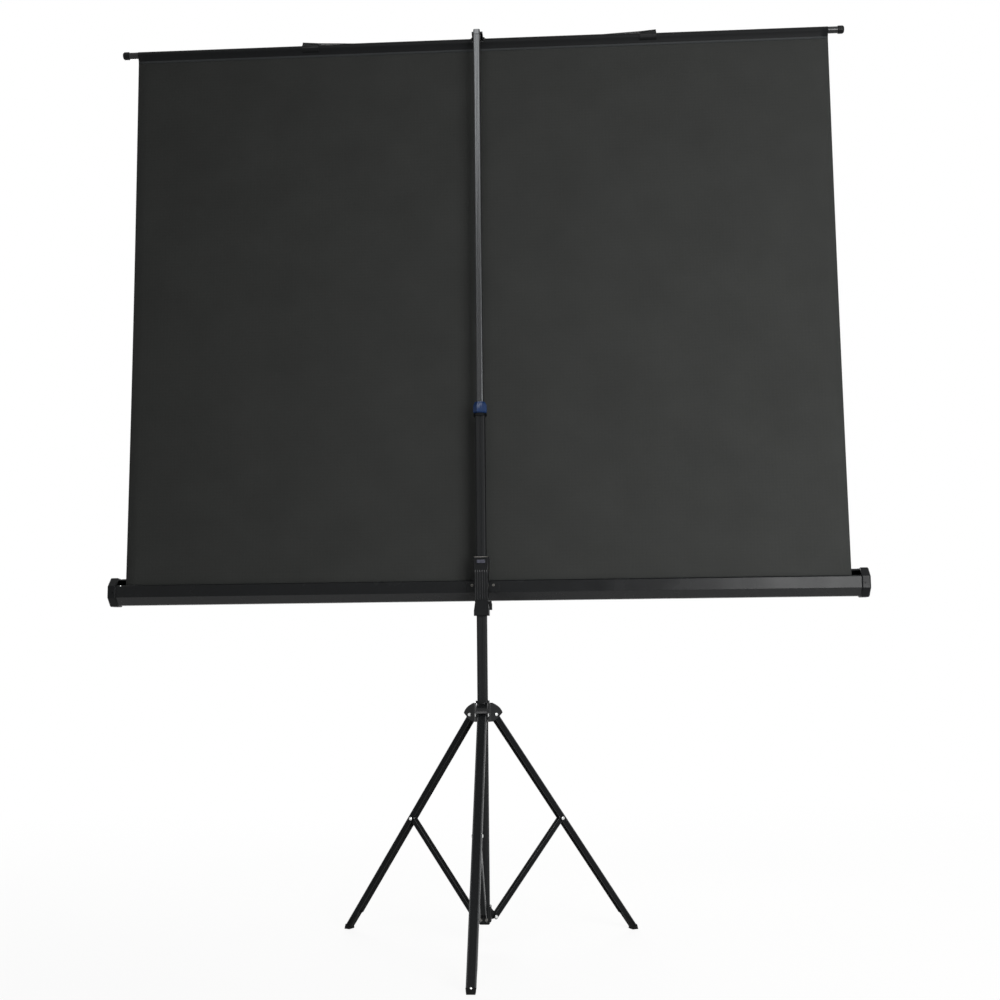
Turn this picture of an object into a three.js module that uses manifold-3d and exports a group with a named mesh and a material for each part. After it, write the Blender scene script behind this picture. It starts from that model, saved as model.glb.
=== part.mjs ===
// Tripod projection screen: spring-roller case and black-backed fabric on a two-part mast with
// a folding three-legged base. Millimetres, +Z up, the mast's back toward -Y.
import * as THREE from 'three';
import { mergeVertices } from 'three/addons/utils/BufferGeometryUtils.js';
import Module from 'manifold-3d';

const wasm = await Module();
wasm.setup();

// Driving dimensions
const FABRIC_WIDTH = 2110;
const CASE_HEIGHT = 995.5;
const BATTEN_HEIGHT = 2657;
const HUB_PIVOT_HEIGHT = 634;
const LEG_SPLAY = THREE.MathUtils.degToRad(35.6);
const MAST_BOTTOM = 69;
const COLLAR_HEIGHT = 1495;
const CARRIAGE_HEIGHT = 167;
const MAST_WIDTH = 29;
const EXTENSION_WIDTH = 20;
const CASE_FLATS = 78;
const BATTEN_RADIUS = 10;

// Clearances
const GAP = 0.3;
const SLIDE_GAP = 0.3;
const HUB_GAP = 0.6;
const PIN_GAP = 0.3;
const SWING_GAP = 0.5;

// Mast tubes
const MAST_WALL = 1.8;
const MAST_CORNER = 5;
const EXTENSION_WALL = 1.4;
const EXTENSION_CORNER = 4;
const GROOVE_WIDTH = 5;
const GROOVE_DEPTH = 0.9;
const EXTENSION_OVERLAP = 300;
const BUSH_LENGTH = 60;
const SHOE_LENGTH = 30;
const SPIGOT_LENGTH = 22;
const PLUG_FLANGE = 6;

// Lock collar
const COLLAR_FLATS = 39;
const COLLAR_LENGTH = 33;
const COLLAR_BEVEL = 3;
const RIM_LENGTH = 8;
const RIM_GROOVE = 1.2;

// Case, roller and fabric
const CASE_WALL = 1.6;
const CASE_LIP = 5;
const CAP_FLATS = 85;
const CAP_LENGTH = 27;
const CAP_SOCKET = 14;
const CAP_BEVEL = 3.5;
const CASE_OVERHANG = 51.5;
const CASE_STAND_OFF = 50;
const FABRIC_OFFSET = 10;
const FABRIC_THICKNESS = 0.8;
const ROLLER_RADIUS = 19;
const ROLLER_WALL = 1.2;
const ROLLER_MARGIN = 10;
const ROLL_TURNS = 5;
const AXLE_RADIUS = 7;
const AXLE_INSET = 9;
const PLUG_DEPTH = 30;
const SPRING_RADIUS = 13;
const SPRING_WIRE = 1.7;
const SPRING_COILS = 14;
const SPRING_PITCH = 24;
const ANCHOR_LENGTH = 8;

// Batten, strap and hanger
const BATTEN_WALL = 1.2;
const BATTEN_BARE = 29;
const BATTEN_CAP_LENGTH = 19;
const BATTEN_CAP_RADIUS = 12;
const POCKET_WALL = 0.9;
const BAND_WALL = 2;
const CLIP_OFFSET = 516;
const CLIP_LENGTH = 51;
const CLIP_RISE = 5.5;
const STRAP_WIDTH = 16;
const STRAP_THICKNESS = 1.6;
const STRAP_RUN_IN = 58;
const HANGER_WIDTH = 33;
const HANGER_PLATE = 2;
const HANGER_FLANGE = 11;
const TONGUE_WIDTH = 16;
const TONGUE_DEPTH = 7;
const HEAD_WIDTH = 20;
const HEAD_HEIGHT = 17;

// Carriage
const CARRIAGE_WIDTH = 43;
const CARRIAGE_WAIST = 36;
const CARRIAGE_DEPTH = 44;
const CARRIAGE_DROP = 84.5;
const CARRIAGE_BEVEL = 1.5;
const TOP_BOX = 38;
const FOOT_FLARE = 14;
const RIB_COUNT = 6;
const RIB_WIDTH = 2.6;
const RIB_PROUD = 2;
const RIB_LENGTH = 84;
const BOSS_RADIUS = 19;
const BOLT_RADIUS = 9;
const BOLT_SEAT = 9;
const PLATE_WIDTH = 96;
const PLATE_HEIGHT = 30;
const PLATE_THICKNESS = 3.5;
const RECESS_WIDTH = 34;
const RECESS_HEIGHT = 29;
const RECESS_DEPTH = 1;
const BUTTON_WIDTH = 24;
const BUTTON_HEIGHT = 10;
const BUTTON_DROP = 13.5;
const BUTTON_PROUD = 2.6;
const BUTTON_TRAVEL = 3.5;
const BUTTON_SEAT = 2.2;
const LEVER_LENGTH = 24;
const LEVER_WIDTH = 9;
const LEVER_REACH = 10;
const LEVER_TOP = 127;
const LEVER_PIN = 2;
const LUG_WALL = 2.4;

// Tripod
const HUB_PIVOT_RADIUS = 34;
const HUB_REACH = 56.5;
const HUB_LOBE = 34;
const HUB_BEVEL = 2.2;
const HUB_LIP = 8.5;
const HUB_CORE = 25;
const HUB_ABOVE = 33;
const HUB_BELOW = 20;
const HUB_ROOF = 4.5;
const HUB_RING = 6;
const LEG_WIDTH = 26;
const LEG_DEPTH = 17;
const LEG_WALL = 2;
const LEG_LIFT = 10;
const LEG_TRIM = 55;
const LEG_TIP = 28;
const FOOT_INSET = 55;
const FOOT_TREAD = 27;
const BRACE_ON_LEG = 368;
const BRACE_INSET = 2;
const BRACE_WIDTH = 17.5;
const BRACE_DEPTH = 14;
const BRACE_WALL = 1.5;
const BRACE_FORK = 28;
const BRACKET_PIVOT_HEIGHT = 80;
const BRACKET_WIDTH = 38;
const BRACKET_LENGTH = 43;
const EAR_THICKNESS = 8;
const EAR_WALL = 2.7;
const PIN_RADIUS = 4;
const HEAD_RADIUS = 5.5;
const HEAD_THICKNESS = 2.4;
const BRACE_HEAD_RADIUS = 5.2;
const BRACE_HEAD_THICKNESS = 2;
const LOW_HEAD_RADIUS = 4.9;
const LOW_HEAD_THICKNESS = 1.6;

// Sizes worked out from the above
const CASE_LENGTH = FABRIC_WIDTH + 2 * CASE_OVERHANG;
const CASE_Y = CASE_STAND_OFF + CASE_FLATS / 2;
const FABRIC_Y = CASE_STAND_OFF + FABRIC_OFFSET;
const ROLL_RADIUS = CASE_Y - FABRIC_Y - FABRIC_THICKNESS / 2 - GAP;
const EXTENSION_TOP = BATTEN_HEIGHT + BATTEN_RADIUS + POCKET_WALL - HEAD_HEIGHT;
const HEAD_TOP = EXTENSION_TOP + HEAD_HEIGHT;
const MAST_TOP = COLLAR_HEIGHT - GAP;
const MAST_BORE = MAST_WIDTH - 2 * MAST_WALL;
const EXTENSION_BORE = EXTENSION_WIDTH - 2 * EXTENSION_WALL;
const EXTENSION_BOTTOM = MAST_TOP - EXTENSION_OVERLAP;
const CARRIAGE_BASE = CASE_HEIGHT - CARRIAGE_DROP;
const BAND_INNER = BATTEN_RADIUS + POCKET_WALL + 2 * GAP;
const BAND_OUTER = BAND_INNER + BAND_WALL;
const FOOT_HALF = LEG_DEPTH / 2 + 1;
const LEG_LENGTH = (HUB_PIVOT_HEIGHT - LEG_LIFT) / Math.cos(LEG_SPLAY);
const BRACKET_PIVOT_RADIUS = HUB_PIVOT_RADIUS - BRACE_INSET;
const TURN = (2 * Math.PI) / 3;

// Finishes
const finish = (color, roughness, metalness) => () =>
  new THREE.MeshStandardMaterial({ color, roughness, metalness });
const blackPaint = finish(0x2b2c2d, 0.42, 0.3);
const greyPaint = finish(0x7d7f80, 0.38, 0.5);
const blackPlastic = finish(0x1b1c1d, 0.5, 0);
const bluePlastic = finish(0x2c437c, 0.25, 0);
const brightSteel = finish(0xc9cbcc, 0.25, 1);
const blackCloth = finish(0x2e3030, 0.85, 0);
const rubber = finish(0x151515, 0.8, 0);
const darkSteel = finish(0x3a3b3c, 0.35, 0.8);

// Solid modelling helpers
function toSolid(geometry) {
  const bare = new THREE.BufferGeometry();
  bare.setAttribute('position', geometry.getAttribute('position').clone());
  if (geometry.index) bare.setIndex(geometry.index.clone());
  const welded = mergeVertices(bare, 1e-4);
  const vertProperties = new Float32Array(welded.getAttribute('position').array);
  const triVerts = new Uint32Array(welded.index.array);
  return new wasm.Manifold(new wasm.Mesh({ numProp: 3, vertProperties, triVerts }));
}

function toGeometry(solid) {
  const { vertProperties, triVerts } = solid.getMesh();
  const geometry = new THREE.BufferGeometry();
  geometry.setAttribute('position', new THREE.BufferAttribute(vertProperties, 3));
  geometry.setIndex(new THREE.BufferAttribute(triVerts, 1));
  geometry.computeVertexNormals();
  return geometry;
}

function cut(body, ...tools) {
  let solid = toSolid(body);
  for (const tool of tools) solid = solid.subtract(toSolid(tool));
  return toGeometry(solid);
}

function join(body, ...others) {
  let solid = toSolid(body);
  for (const other of others) solid = solid.add(toSolid(other));
  return toGeometry(solid);
}

// Flat shapes
function outline(points) {
  return new THREE.Shape(points.map(([x, y]) => new THREE.Vector2(x, y)));
}

function roundedRect(width, height, radius) {
  const x = width / 2 - radius;
  const y = height / 2 - radius;
  const shape = new THREE.Shape();
  shape.absarc(x, y, radius, 0, Math.PI / 2);
  shape.absarc(-x, y, radius, Math.PI / 2, Math.PI);
  shape.absarc(-x, -y, radius, Math.PI, 1.5 * Math.PI);
  shape.absarc(x, -y, radius, 1.5 * Math.PI, 2 * Math.PI);
  shape.closePath();
  return shape;
}

function grooveTube(width, wall, corner) {
  const half = width / 2;
  const inset = half - corner;
  const lip = GROOVE_WIDTH / 2;
  const floor = lip - GROOVE_DEPTH;
  const shape = new THREE.Shape();
  shape.absarc(inset, inset, corner, 0, Math.PI / 2);
  shape.lineTo(lip, half);
  shape.lineTo(floor, half - GROOVE_DEPTH);
  shape.lineTo(-floor, half - GROOVE_DEPTH);
  shape.lineTo(-lip, half);
  shape.absarc(-inset, inset, corner, Math.PI / 2, Math.PI);
  shape.absarc(-inset, -inset, corner, Math.PI, 1.5 * Math.PI);
  shape.lineTo(-lip, -half);
  shape.lineTo(-floor, GROOVE_DEPTH - half);
  shape.lineTo(floor, GROOVE_DEPTH - half);
  shape.lineTo(lip, -half);
  shape.absarc(inset, -inset, corner, 1.5 * Math.PI, 2 * Math.PI);
  shape.closePath();
  shape.holes.push(roundedRect(width - 2 * wall, width - 2 * wall, corner - wall));
  return shape;
}

function octagon(flats) {
  const radius = flats / 2 / Math.cos(Math.PI / 8);
  return [...Array(8).keys()].map((k) => {
    const angle = Math.PI / 8 + (k * Math.PI) / 4;
    return [radius * Math.cos(angle), radius * Math.sin(angle)];
  });
}

// Prisms and turned parts: the profile plane and the direction that it runs in
function prism(shape, length, segments = 4) {
  const options = { depth: length, bevelEnabled: false, curveSegments: segments };
  return new THREE.ExtrudeGeometry(shape, options).translate(0, 0, -length / 2);
}

function softPrism(shape, length, bevel, segments = 4) {
  const options = {
    depth: length - 2 * bevel,
    bevelThickness: bevel,
    bevelSize: bevel,
    bevelOffset: -bevel,
    bevelSegments: 1,
    curveSegments: segments,
  };
  return new THREE.ExtrudeGeometry(shape, options).translate(0, 0, bevel - length / 2);
}

const frame = (x, y, z) => new THREE.Matrix4().makeBasis(x, y, z);
const axis = (x, y, z) => new THREE.Vector3(x, y, z);
const ALONG_X = frame(axis(0, 1, 0), axis(0, 0, 1), axis(1, 0, 0));
const ALONG_Y = frame(axis(1, 0, 0), axis(0, 0, 1), axis(0, -1, 0));
const RADIAL = frame(axis(0, -1, 0), axis(0, 0, 1), axis(-1, 0, 0));
const alongX = (geometry) => geometry.applyMatrix4(ALONG_X);
const alongY = (geometry) => geometry.applyMatrix4(ALONG_Y);
const radial = (geometry) => geometry.applyMatrix4(RADIAL);

function turned(points, segments = 24) {
  const profile = points.map(([r, h]) => new THREE.Vector2(r, h));
  return new THREE.LatheGeometry(profile, segments);
}

const turnedX = (points, segments) => turned(points, segments).rotateZ(-Math.PI / 2);
const turnedZ = (points, segments) => turned(points, segments).rotateX(Math.PI / 2);
const rod = (radius, length) => [
  [0, -length / 2],
  [radius, -length / 2],
  [radius, length / 2],
  [0, length / 2],
];
const pipe = (inner, outer, length) => [
  [inner, -length / 2],
  [outer, -length / 2],
  [outer, length / 2],
  [inner, length / 2],
  [inner, -length / 2],
];

function rivet(grip, headRadius, headThickness) {
  const seat = grip / 2 + GAP;
  const edge = headRadius * 0.72;
  return turnedX(
    [
      [0, -seat - headThickness],
      [edge, -seat - headThickness],
      [headRadius, -seat],
      [PIN_RADIUS, -seat],
      [PIN_RADIUS, seat],
      [headRadius, seat],
      [edge, seat + headThickness],
      [0, seat + headThickness],
    ],
    16,
  );
}

const pinHole = (length) => turnedX(rod(PIN_RADIUS + PIN_GAP, length), 16);
const box = (x, y, z) => new THREE.BoxGeometry(x, y, z);

function piece(parent, name, geometry, material) {
  const mesh = new THREE.Mesh(geometry, material());
  mesh.name = name;
  parent.add(mesh);
  return mesh;
}

const screen = new THREE.Group();
screen.name = 'tripod_projection_screen';

// Main tube with its end plug, guide bush and collar
const mastLength = MAST_TOP - MAST_BOTTOM;
const mastTube = prism(grooveTube(MAST_WIDTH, MAST_WALL, MAST_CORNER), mastLength);
piece(screen, 'mast_tube', mastTube.translate(0, 0, MAST_BOTTOM + mastLength / 2), blackPaint);

const spigotWidth = MAST_BORE - 2 * GAP;
const spigotCorner = MAST_CORNER - MAST_WALL;
const footPlug = join(
  softPrism(roundedRect(MAST_WIDTH, MAST_WIDTH, MAST_CORNER), PLUG_FLANGE, 1.5).translate(
    0,
    0,
    MAST_BOTTOM - GAP - PLUG_FLANGE / 2,
  ),
  prism(roundedRect(spigotWidth, spigotWidth, spigotCorner), SPIGOT_LENGTH).translate(
    0,
    0,
    MAST_BOTTOM - 1 + SPIGOT_LENGTH / 2,
  ),
);
piece(screen, 'mast_foot_plug', footPlug, blackPlastic);

const bushShape = roundedRect(spigotWidth, spigotWidth, spigotCorner);
const bushBore = EXTENSION_WIDTH + 2 * SLIDE_GAP;
bushShape.holes.push(roundedRect(bushBore, bushBore, EXTENSION_CORNER));
const bush = prism(bushShape, BUSH_LENGTH);
piece(screen, 'guide_bush', bush.translate(0, 0, MAST_TOP - BUSH_LENGTH / 2), blackPlastic);

const rimRadius = COLLAR_FLATS / 2 + 0.5;
const rimInner = MAST_WIDTH / 2 - 1;
const rim = cut(
  turnedZ(
    [
      [rimInner, -RIM_LENGTH / 2],
      [rimRadius - RIM_GROOVE, -RIM_LENGTH / 2],
      [rimRadius, -RIM_LENGTH / 4],
      [rimRadius - RIM_GROOVE, 0],
      [rimRadius, RIM_LENGTH / 4],
      [rimRadius - RIM_GROOVE, RIM_LENGTH / 2],
      [rimInner, RIM_LENGTH / 2],
      [rimInner, -RIM_LENGTH / 2],
    ],
    32,
  ),
  prism(
    roundedRect(MAST_WIDTH + 2 * GAP, MAST_WIDTH + 2 * GAP, MAST_CORNER + GAP),
    2 * RIM_LENGTH,
  ),
);
const rimMid = COLLAR_HEIGHT - GAP - RIM_LENGTH / 2;
piece(screen, 'collar_rim', rim.translate(0, 0, rimMid), blackPlastic);

const collarBore = EXTENSION_WIDTH / Math.SQRT2 + SLIDE_GAP;
const collar = cut(
  softPrism(outline(octagon(COLLAR_FLATS)), COLLAR_LENGTH, COLLAR_BEVEL),
  turnedZ(rod(collarBore, 2 * COLLAR_LENGTH), 32),
);
const collarMid = COLLAR_HEIGHT + GAP + COLLAR_LENGTH / 2;
piece(screen, 'lock_collar', collar.translate(0, 0, collarMid), bluePlastic);

// Extension tube, its guide shoe and the grooved head
const extensionLength = EXTENSION_TOP - EXTENSION_BOTTOM;
const extension = prism(
  grooveTube(EXTENSION_WIDTH, EXTENSION_WALL, EXTENSION_CORNER),
  extensionLength,
);
const extensionMid = EXTENSION_BOTTOM + extensionLength / 2;
piece(screen, 'extension_tube', extension.translate(0, 0, extensionMid), greyPaint);

const innerSpigot = EXTENSION_BORE - 2 * GAP;
const innerCorner = EXTENSION_CORNER - EXTENSION_WALL;
const shoeWidth = MAST_BORE - 2 * SLIDE_GAP;
const shoe = join(
  prism(roundedRect(shoeWidth, shoeWidth, spigotCorner), SHOE_LENGTH).translate(
    0,
    0,
    EXTENSION_BOTTOM - GAP - SHOE_LENGTH / 2,
  ),
  prism(roundedRect(innerSpigot, innerSpigot, innerCorner), SPIGOT_LENGTH).translate(
    0,
    0,
    EXTENSION_BOTTOM - 1 + SPIGOT_LENGTH / 2,
  ),
);
piece(screen, 'extension_shoe', shoe, blackPlastic);

const headBlock = HEAD_HEIGHT - GAP;
const grooveDepth = TONGUE_DEPTH + 2;
const head = cut(
  join(
    softPrism(roundedRect(HEAD_WIDTH, HEAD_WIDTH, EXTENSION_CORNER), headBlock, 1.2).translate(
      0,
      0,
      HEAD_TOP - headBlock / 2,
    ),
    prism(roundedRect(innerSpigot, innerSpigot, innerCorner), SPIGOT_LENGTH).translate(
      0,
      0,
      EXTENSION_TOP + 1 - SPIGOT_LENGTH / 2,
    ),
  ),
  box(2 * HEAD_WIDTH, HANGER_PLATE + 3, 2 * grooveDepth).translate(0, 0, HEAD_TOP),
);
piece(screen, 'mast_head', head, greyPaint);

// Carriage: ribbed sleeve that runs on the main tube and carries the case pivot
const sleeveWide = CARRIAGE_WIDTH / 2;
const sleeveSlim = CARRIAGE_WAIST / 2;
const gripWide = (sleeveWide + sleeveSlim) / 2;
const waistHeight = FOOT_FLARE + LEVER_LENGTH;
const sleeveShape = outline([
  [-sleeveWide, 0],
  [sleeveWide, 0],
  [sleeveWide, FOOT_FLARE],
  [sleeveSlim, waistHeight],
  [gripWide, CARRIAGE_HEIGHT - TOP_BOX],
  [sleeveWide, CARRIAGE_HEIGHT - TOP_BOX + 2],
  [sleeveWide, CARRIAGE_HEIGHT],
  [-sleeveWide, CARRIAGE_HEIGHT],
  [-sleeveWide, CARRIAGE_HEIGHT - TOP_BOX + 2],
  [-gripWide, CARRIAGE_HEIGHT - TOP_BOX],
  [-sleeveSlim, waistHeight],
  [-sleeveWide, FOOT_FLARE],
]);
const sleeveBack = -CARRIAGE_DEPTH / 2;
const ribStep = (2 * sleeveSlim - RIB_WIDTH) / (RIB_COUNT - 1);
const ribMid = CARRIAGE_HEIGHT - TOP_BOX - RIB_LENGTH / 2;
const ribs = [...Array(RIB_COUNT).keys()].map((k) =>
  box(RIB_WIDTH, 2 * RIB_PROUD, RIB_LENGTH).translate(
    RIB_WIDTH / 2 - sleeveSlim + k * ribStep,
    sleeveBack,
    ribMid,
  ),
);
const pivotRise = CASE_HEIGHT - CARRIAGE_BASE;
const plateFront = CASE_STAND_OFF - GAP;
const plateBack = plateFront - PLATE_THICKNESS;
const bossEnd = plateBack - SWING_GAP;
const boltTip = MAST_WIDTH / 2 + BOLT_SEAT;
const bossStart = CARRIAGE_DEPTH / 2 - 3;
const boss = turned(rod(BOSS_RADIUS, bossEnd - bossStart)).translate(
  0,
  (bossEnd + bossStart) / 2,
  pivotRise,
);
const leverTop = CARRIAGE_HEIGHT - LEVER_TOP;
const leverPivot = [sleeveWide + LEVER_REACH / 3, leverTop - LEVER_REACH / 3];
const lugMid = LEVER_WIDTH / 2 + SWING_GAP + LUG_WALL / 2;
const lugs = [-lugMid, lugMid].map((y) =>
  box(LEVER_REACH + 4, LUG_WALL, LEVER_REACH).translate(leverPivot[0] - 4, y, leverPivot[1]),
);
const sleeveBore = MAST_WIDTH + 2 * SLIDE_GAP;
const buttonRise = CARRIAGE_HEIGHT - BUTTON_DROP;
const pocketDepth = BUTTON_SEAT + BUTTON_TRAVEL + SWING_GAP;
const sleeve = cut(
  join(
    alongY(softPrism(sleeveShape, CARRIAGE_DEPTH, CARRIAGE_BEVEL)),
    boss,
    ...ribs,
    ...lugs,
  ),
  prism(roundedRect(sleeveBore, sleeveBore, MAST_CORNER), 4 * CARRIAGE_HEIGHT),
  turned(rod(BOLT_RADIUS + PIN_GAP, 2 * (bossEnd - boltTip))).translate(0, bossEnd, pivotRise),
  box(BUTTON_WIDTH + 2 * GAP, 2 * pocketDepth, BUTTON_HEIGHT + 2 * GAP).translate(
    0,
    sleeveBack,
    buttonRise,
  ),
  box(RECESS_WIDTH, 2 * RECESS_DEPTH, RECESS_HEIGHT).translate(
    0,
    sleeveBack,
    CARRIAGE_HEIGHT - TOP_BOX / 2,
  ),
  turned(rod(LEVER_PIN + PIN_GAP, 4 * LEVER_WIDTH), 16).translate(
    leverPivot[0],
    0,
    leverPivot[1],
  ),
);
const carriage = new THREE.Group();
carriage.position.z = CARRIAGE_BASE;
screen.add(carriage);
piece(carriage, 'carriage_body', sleeve, blackPlastic);

const buttonDepth = BUTTON_PROUD + BUTTON_SEAT;
const button = softPrism(roundedRect(BUTTON_WIDTH, BUTTON_HEIGHT, 2), buttonDepth, 0.8);
const buttonY = sleeveBack + BUTTON_SEAT - buttonDepth / 2;
piece(carriage, 'release_button', alongY(button).translate(0, buttonY, buttonRise), bluePlastic);

const leverBase = leverTop - LEVER_LENGTH;
const leverShape = outline([
  [sleeveSlim + 2.5, leverTop],
  [sleeveSlim + LEVER_REACH * 0.85, leverTop],
  [sleeveWide + LEVER_REACH * 0.8, leverTop - LEVER_LENGTH / 4],
  [sleeveWide + LEVER_REACH * 0.8, leverBase],
  [sleeveWide + SWING_GAP, leverBase],
  [sleeveSlim + 2, leverTop - LEVER_LENGTH * 0.4],
]);
const lever = join(
  alongY(softPrism(leverShape, LEVER_WIDTH, 0.8)),
  turned(rod(LEVER_PIN, LEVER_WIDTH + 2 * LUG_WALL), 16).translate(
    leverPivot[0],
    0,
    leverPivot[1],
  ),
);
piece(carriage, 'latch_lever', lever, blackPlastic);

// Case group: its origin is on the roller axis, in the middle of the case
const caseGroup = new THREE.Group();
caseGroup.position.set(0, CASE_Y, CASE_HEIGHT);
screen.add(caseGroup);

const plateMid = (plateFront + plateBack) / 2 - CASE_Y;
const plate = cut(
  alongY(softPrism(roundedRect(PLATE_WIDTH, PLATE_HEIGHT, 6), PLATE_THICKNESS, 0.8)),
  turned(rod(BOLT_RADIUS + PIN_GAP, 4 * PLATE_THICKNESS)),
);
piece(caseGroup, 'pivot_plate', plate.translate(0, plateMid, 0), blackPaint);

const boltLength = plateFront - boltTip - 2 * GAP;
const bolt = turned(rod(BOLT_RADIUS, boltLength));
const boltMid = plateFront - GAP - boltLength / 2 - CASE_Y;
piece(caseGroup, 'pivot_bolt', bolt.translate(0, boltMid, 0), brightSteel);

// Octagonal shell, open along the upper back facet where the fabric comes out
const skin = octagon(CASE_FLATS);
const lining = octagon(CASE_FLATS - 2 * CASE_WALL);
const stepTo = (from, to, length) => {
  const span = Math.hypot(to[0] - from[0], to[1] - from[1]);
  return from.map((value, i) => value + ((to[i] - value) * length) / span);
};
const order = [3, 4, 5, 6, 7, 0, 1, 2];
const shellShape = outline([
  stepTo(skin[3], skin[2], CASE_LIP),
  ...order.map((k) => skin[k]),
  stepTo(skin[2], skin[3], CASE_LIP),
  stepTo(lining[2], lining[3], CASE_LIP),
  ...order.map((k) => lining[k]).reverse(),
  stepTo(lining[3], lining[2], CASE_LIP),
]);
const shellLength = CASE_LENGTH - 2 * (CAP_LENGTH - CAP_SOCKET + GAP);
piece(caseGroup, 'case_shell', alongX(prism(shellShape, shellLength)), blackPaint);

const rollerLength = FABRIC_WIDTH + 2 * ROLLER_MARGIN;
const capFloor = CASE_LENGTH / 2 - CAP_LENGTH + CAP_SOCKET;
const axleEnd = capFloor + AXLE_INSET;
const springEnd = rollerLength / 2 - PLUG_DEPTH - SPRING_PITCH * SPRING_COILS - 2 * SPRING_WIRE;
const axleStart = { left: springEnd - ANCHOR_LENGTH, right: rollerLength / 2 - PLUG_DEPTH };
const anchor = turnedX(rod(SPRING_RADIUS + SPRING_WIRE, ANCHOR_LENGTH)).translate(
  ANCHOR_LENGTH / 2 - springEnd,
  0,
  0,
);
const plugRadius = ROLLER_RADIUS - ROLLER_WALL - GAP;
const bearing = AXLE_RADIUS + PIN_GAP;
for (const [side, sign] of [
  ['left', -1],
  ['right', 1],
]) {
  const cap = cut(
    alongX(softPrism(outline(octagon(CAP_FLATS)), CAP_LENGTH, CAP_BEVEL)),
    alongX(prism(outline(octagon(CASE_FLATS + 2 * GAP)), 2 * CAP_SOCKET)).translate(
      (-sign * CAP_LENGTH) / 2,
      0,
      0,
    ),
    turnedX(rod(bearing, 2 * (AXLE_INSET + GAP))).translate(
      sign * (CAP_SOCKET - CAP_LENGTH / 2),
      0,
      0,
    ),
  );
  const capX = sign * (CASE_LENGTH / 2 - CAP_LENGTH / 2);
  piece(caseGroup, `end_cap_${side}`, cap.translate(capX, 0, 0), blackPlastic);

  const axle = turnedX(rod(AXLE_RADIUS, axleEnd - axleStart[side]));
  const axleX = (sign * (axleEnd + axleStart[side])) / 2;
  const bar = axle.translate(axleX, 0, 0);
  const shaft = side === 'left' ? join(bar, anchor) : bar;
  piece(caseGroup, `roller_axle_${side}`, shaft, brightSteel);

  const plug = turnedX([
    [bearing, -PLUG_DEPTH],
    [plugRadius, -PLUG_DEPTH],
    [plugRadius, GAP],
    [ROLLER_RADIUS, GAP],
    [ROLLER_RADIUS, GAP + 3],
    [bearing, GAP + 3],
    [bearing, -PLUG_DEPTH],
  ]);
  if (sign < 0) plug.rotateZ(Math.PI);
  const plugX = (sign * rollerLength) / 2;
  piece(caseGroup, `roller_plug_${side}`, plug.translate(plugX, 0, 0), blackPlastic);
}

// Spring roller: tube, torsion spring and the turns of fabric left on it
const rollerTube = turnedX(pipe(ROLLER_RADIUS - ROLLER_WALL, ROLLER_RADIUS, rollerLength), 32);
piece(caseGroup, 'roller_tube', rollerTube, darkSteel);

class Helix extends THREE.Curve {
  getPoint(t, target = new THREE.Vector3()) {
    const angle = 2 * Math.PI * SPRING_COILS * t;
    const along = SPRING_PITCH * SPRING_COILS * t;
    return target.set(along, SPRING_RADIUS * Math.cos(angle), SPRING_RADIUS * Math.sin(angle));
  }
}
const wireShape = new THREE.Shape().absarc(0, 0, SPRING_WIRE, 0, 2 * Math.PI);
const spring = new THREE.ExtrudeGeometry(wireShape, {
  steps: SPRING_COILS * 12,
  curveSegments: 3,
  extrudePath: new Helix(),
});
const springStart = PLUG_DEPTH + SPRING_WIRE - rollerLength / 2;
piece(caseGroup, 'roller_spring', spring.translate(springStart, 0, 0), brightSteel);

const rollStart = ROLLER_RADIUS + GAP;
const rollPitch = (ROLL_RADIUS - rollStart - FABRIC_THICKNESS) / ROLL_TURNS;
const rollSteps = ROLL_TURNS * 32;
const spiral = [...Array(rollSteps + 1).keys()].map((k) => {
  const angle = Math.PI - (2 * Math.PI * (rollSteps - k)) / 32;
  const radius = ROLL_RADIUS - FABRIC_THICKNESS - (rollPitch * (rollSteps - k)) / 32;
  return { angle, radius };
});
const ray = (angle, radius) => [radius * Math.cos(angle), radius * Math.sin(angle)];
const rollShape = outline([
  ...spiral.map(({ angle, radius }) => ray(angle, radius + FABRIC_THICKNESS)),
  ...spiral.reverse().map(({ angle, radius }) => ray(angle, radius)),
]);
piece(caseGroup, 'fabric_roll', alongX(prism(rollShape, FABRIC_WIDTH)), blackCloth);

// Fabric: the stretched sheet with its batten pocket
const pocketRing = new THREE.Shape();
pocketRing.absarc(0, 0, BATTEN_RADIUS + GAP + POCKET_WALL, 0, 2 * Math.PI);
const pocketBore = new THREE.Path().absarc(0, 0, BATTEN_RADIUS + GAP, 0, 2 * Math.PI);
pocketRing.holes.push(pocketBore);
const sheetTop = BATTEN_HEIGHT - BATTEN_RADIUS - GAP - POCKET_WALL / 3;
const fabric = join(
  alongX(prism(pocketRing, FABRIC_WIDTH, 16)).translate(0, FABRIC_Y, BATTEN_HEIGHT),
  box(FABRIC_WIDTH, FABRIC_THICKNESS, sheetTop - CASE_HEIGHT).translate(
    0,
    FABRIC_Y,
    (sheetTop + CASE_HEIGHT) / 2,
  ),
);
piece(screen, 'screen_fabric', fabric, blackCloth);

// Batten group: its origin is on the batten axis, at the middle
const batten = new THREE.Group();
batten.position.set(0, FABRIC_Y, BATTEN_HEIGHT);
screen.add(batten);

const battenLength = FABRIC_WIDTH + 2 * BATTEN_BARE;
const battenBore = BATTEN_RADIUS - BATTEN_WALL;
const battenTube = turnedX(pipe(battenBore, BATTEN_RADIUS, battenLength));
piece(batten, 'batten_tube', battenTube, blackPaint);

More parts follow.
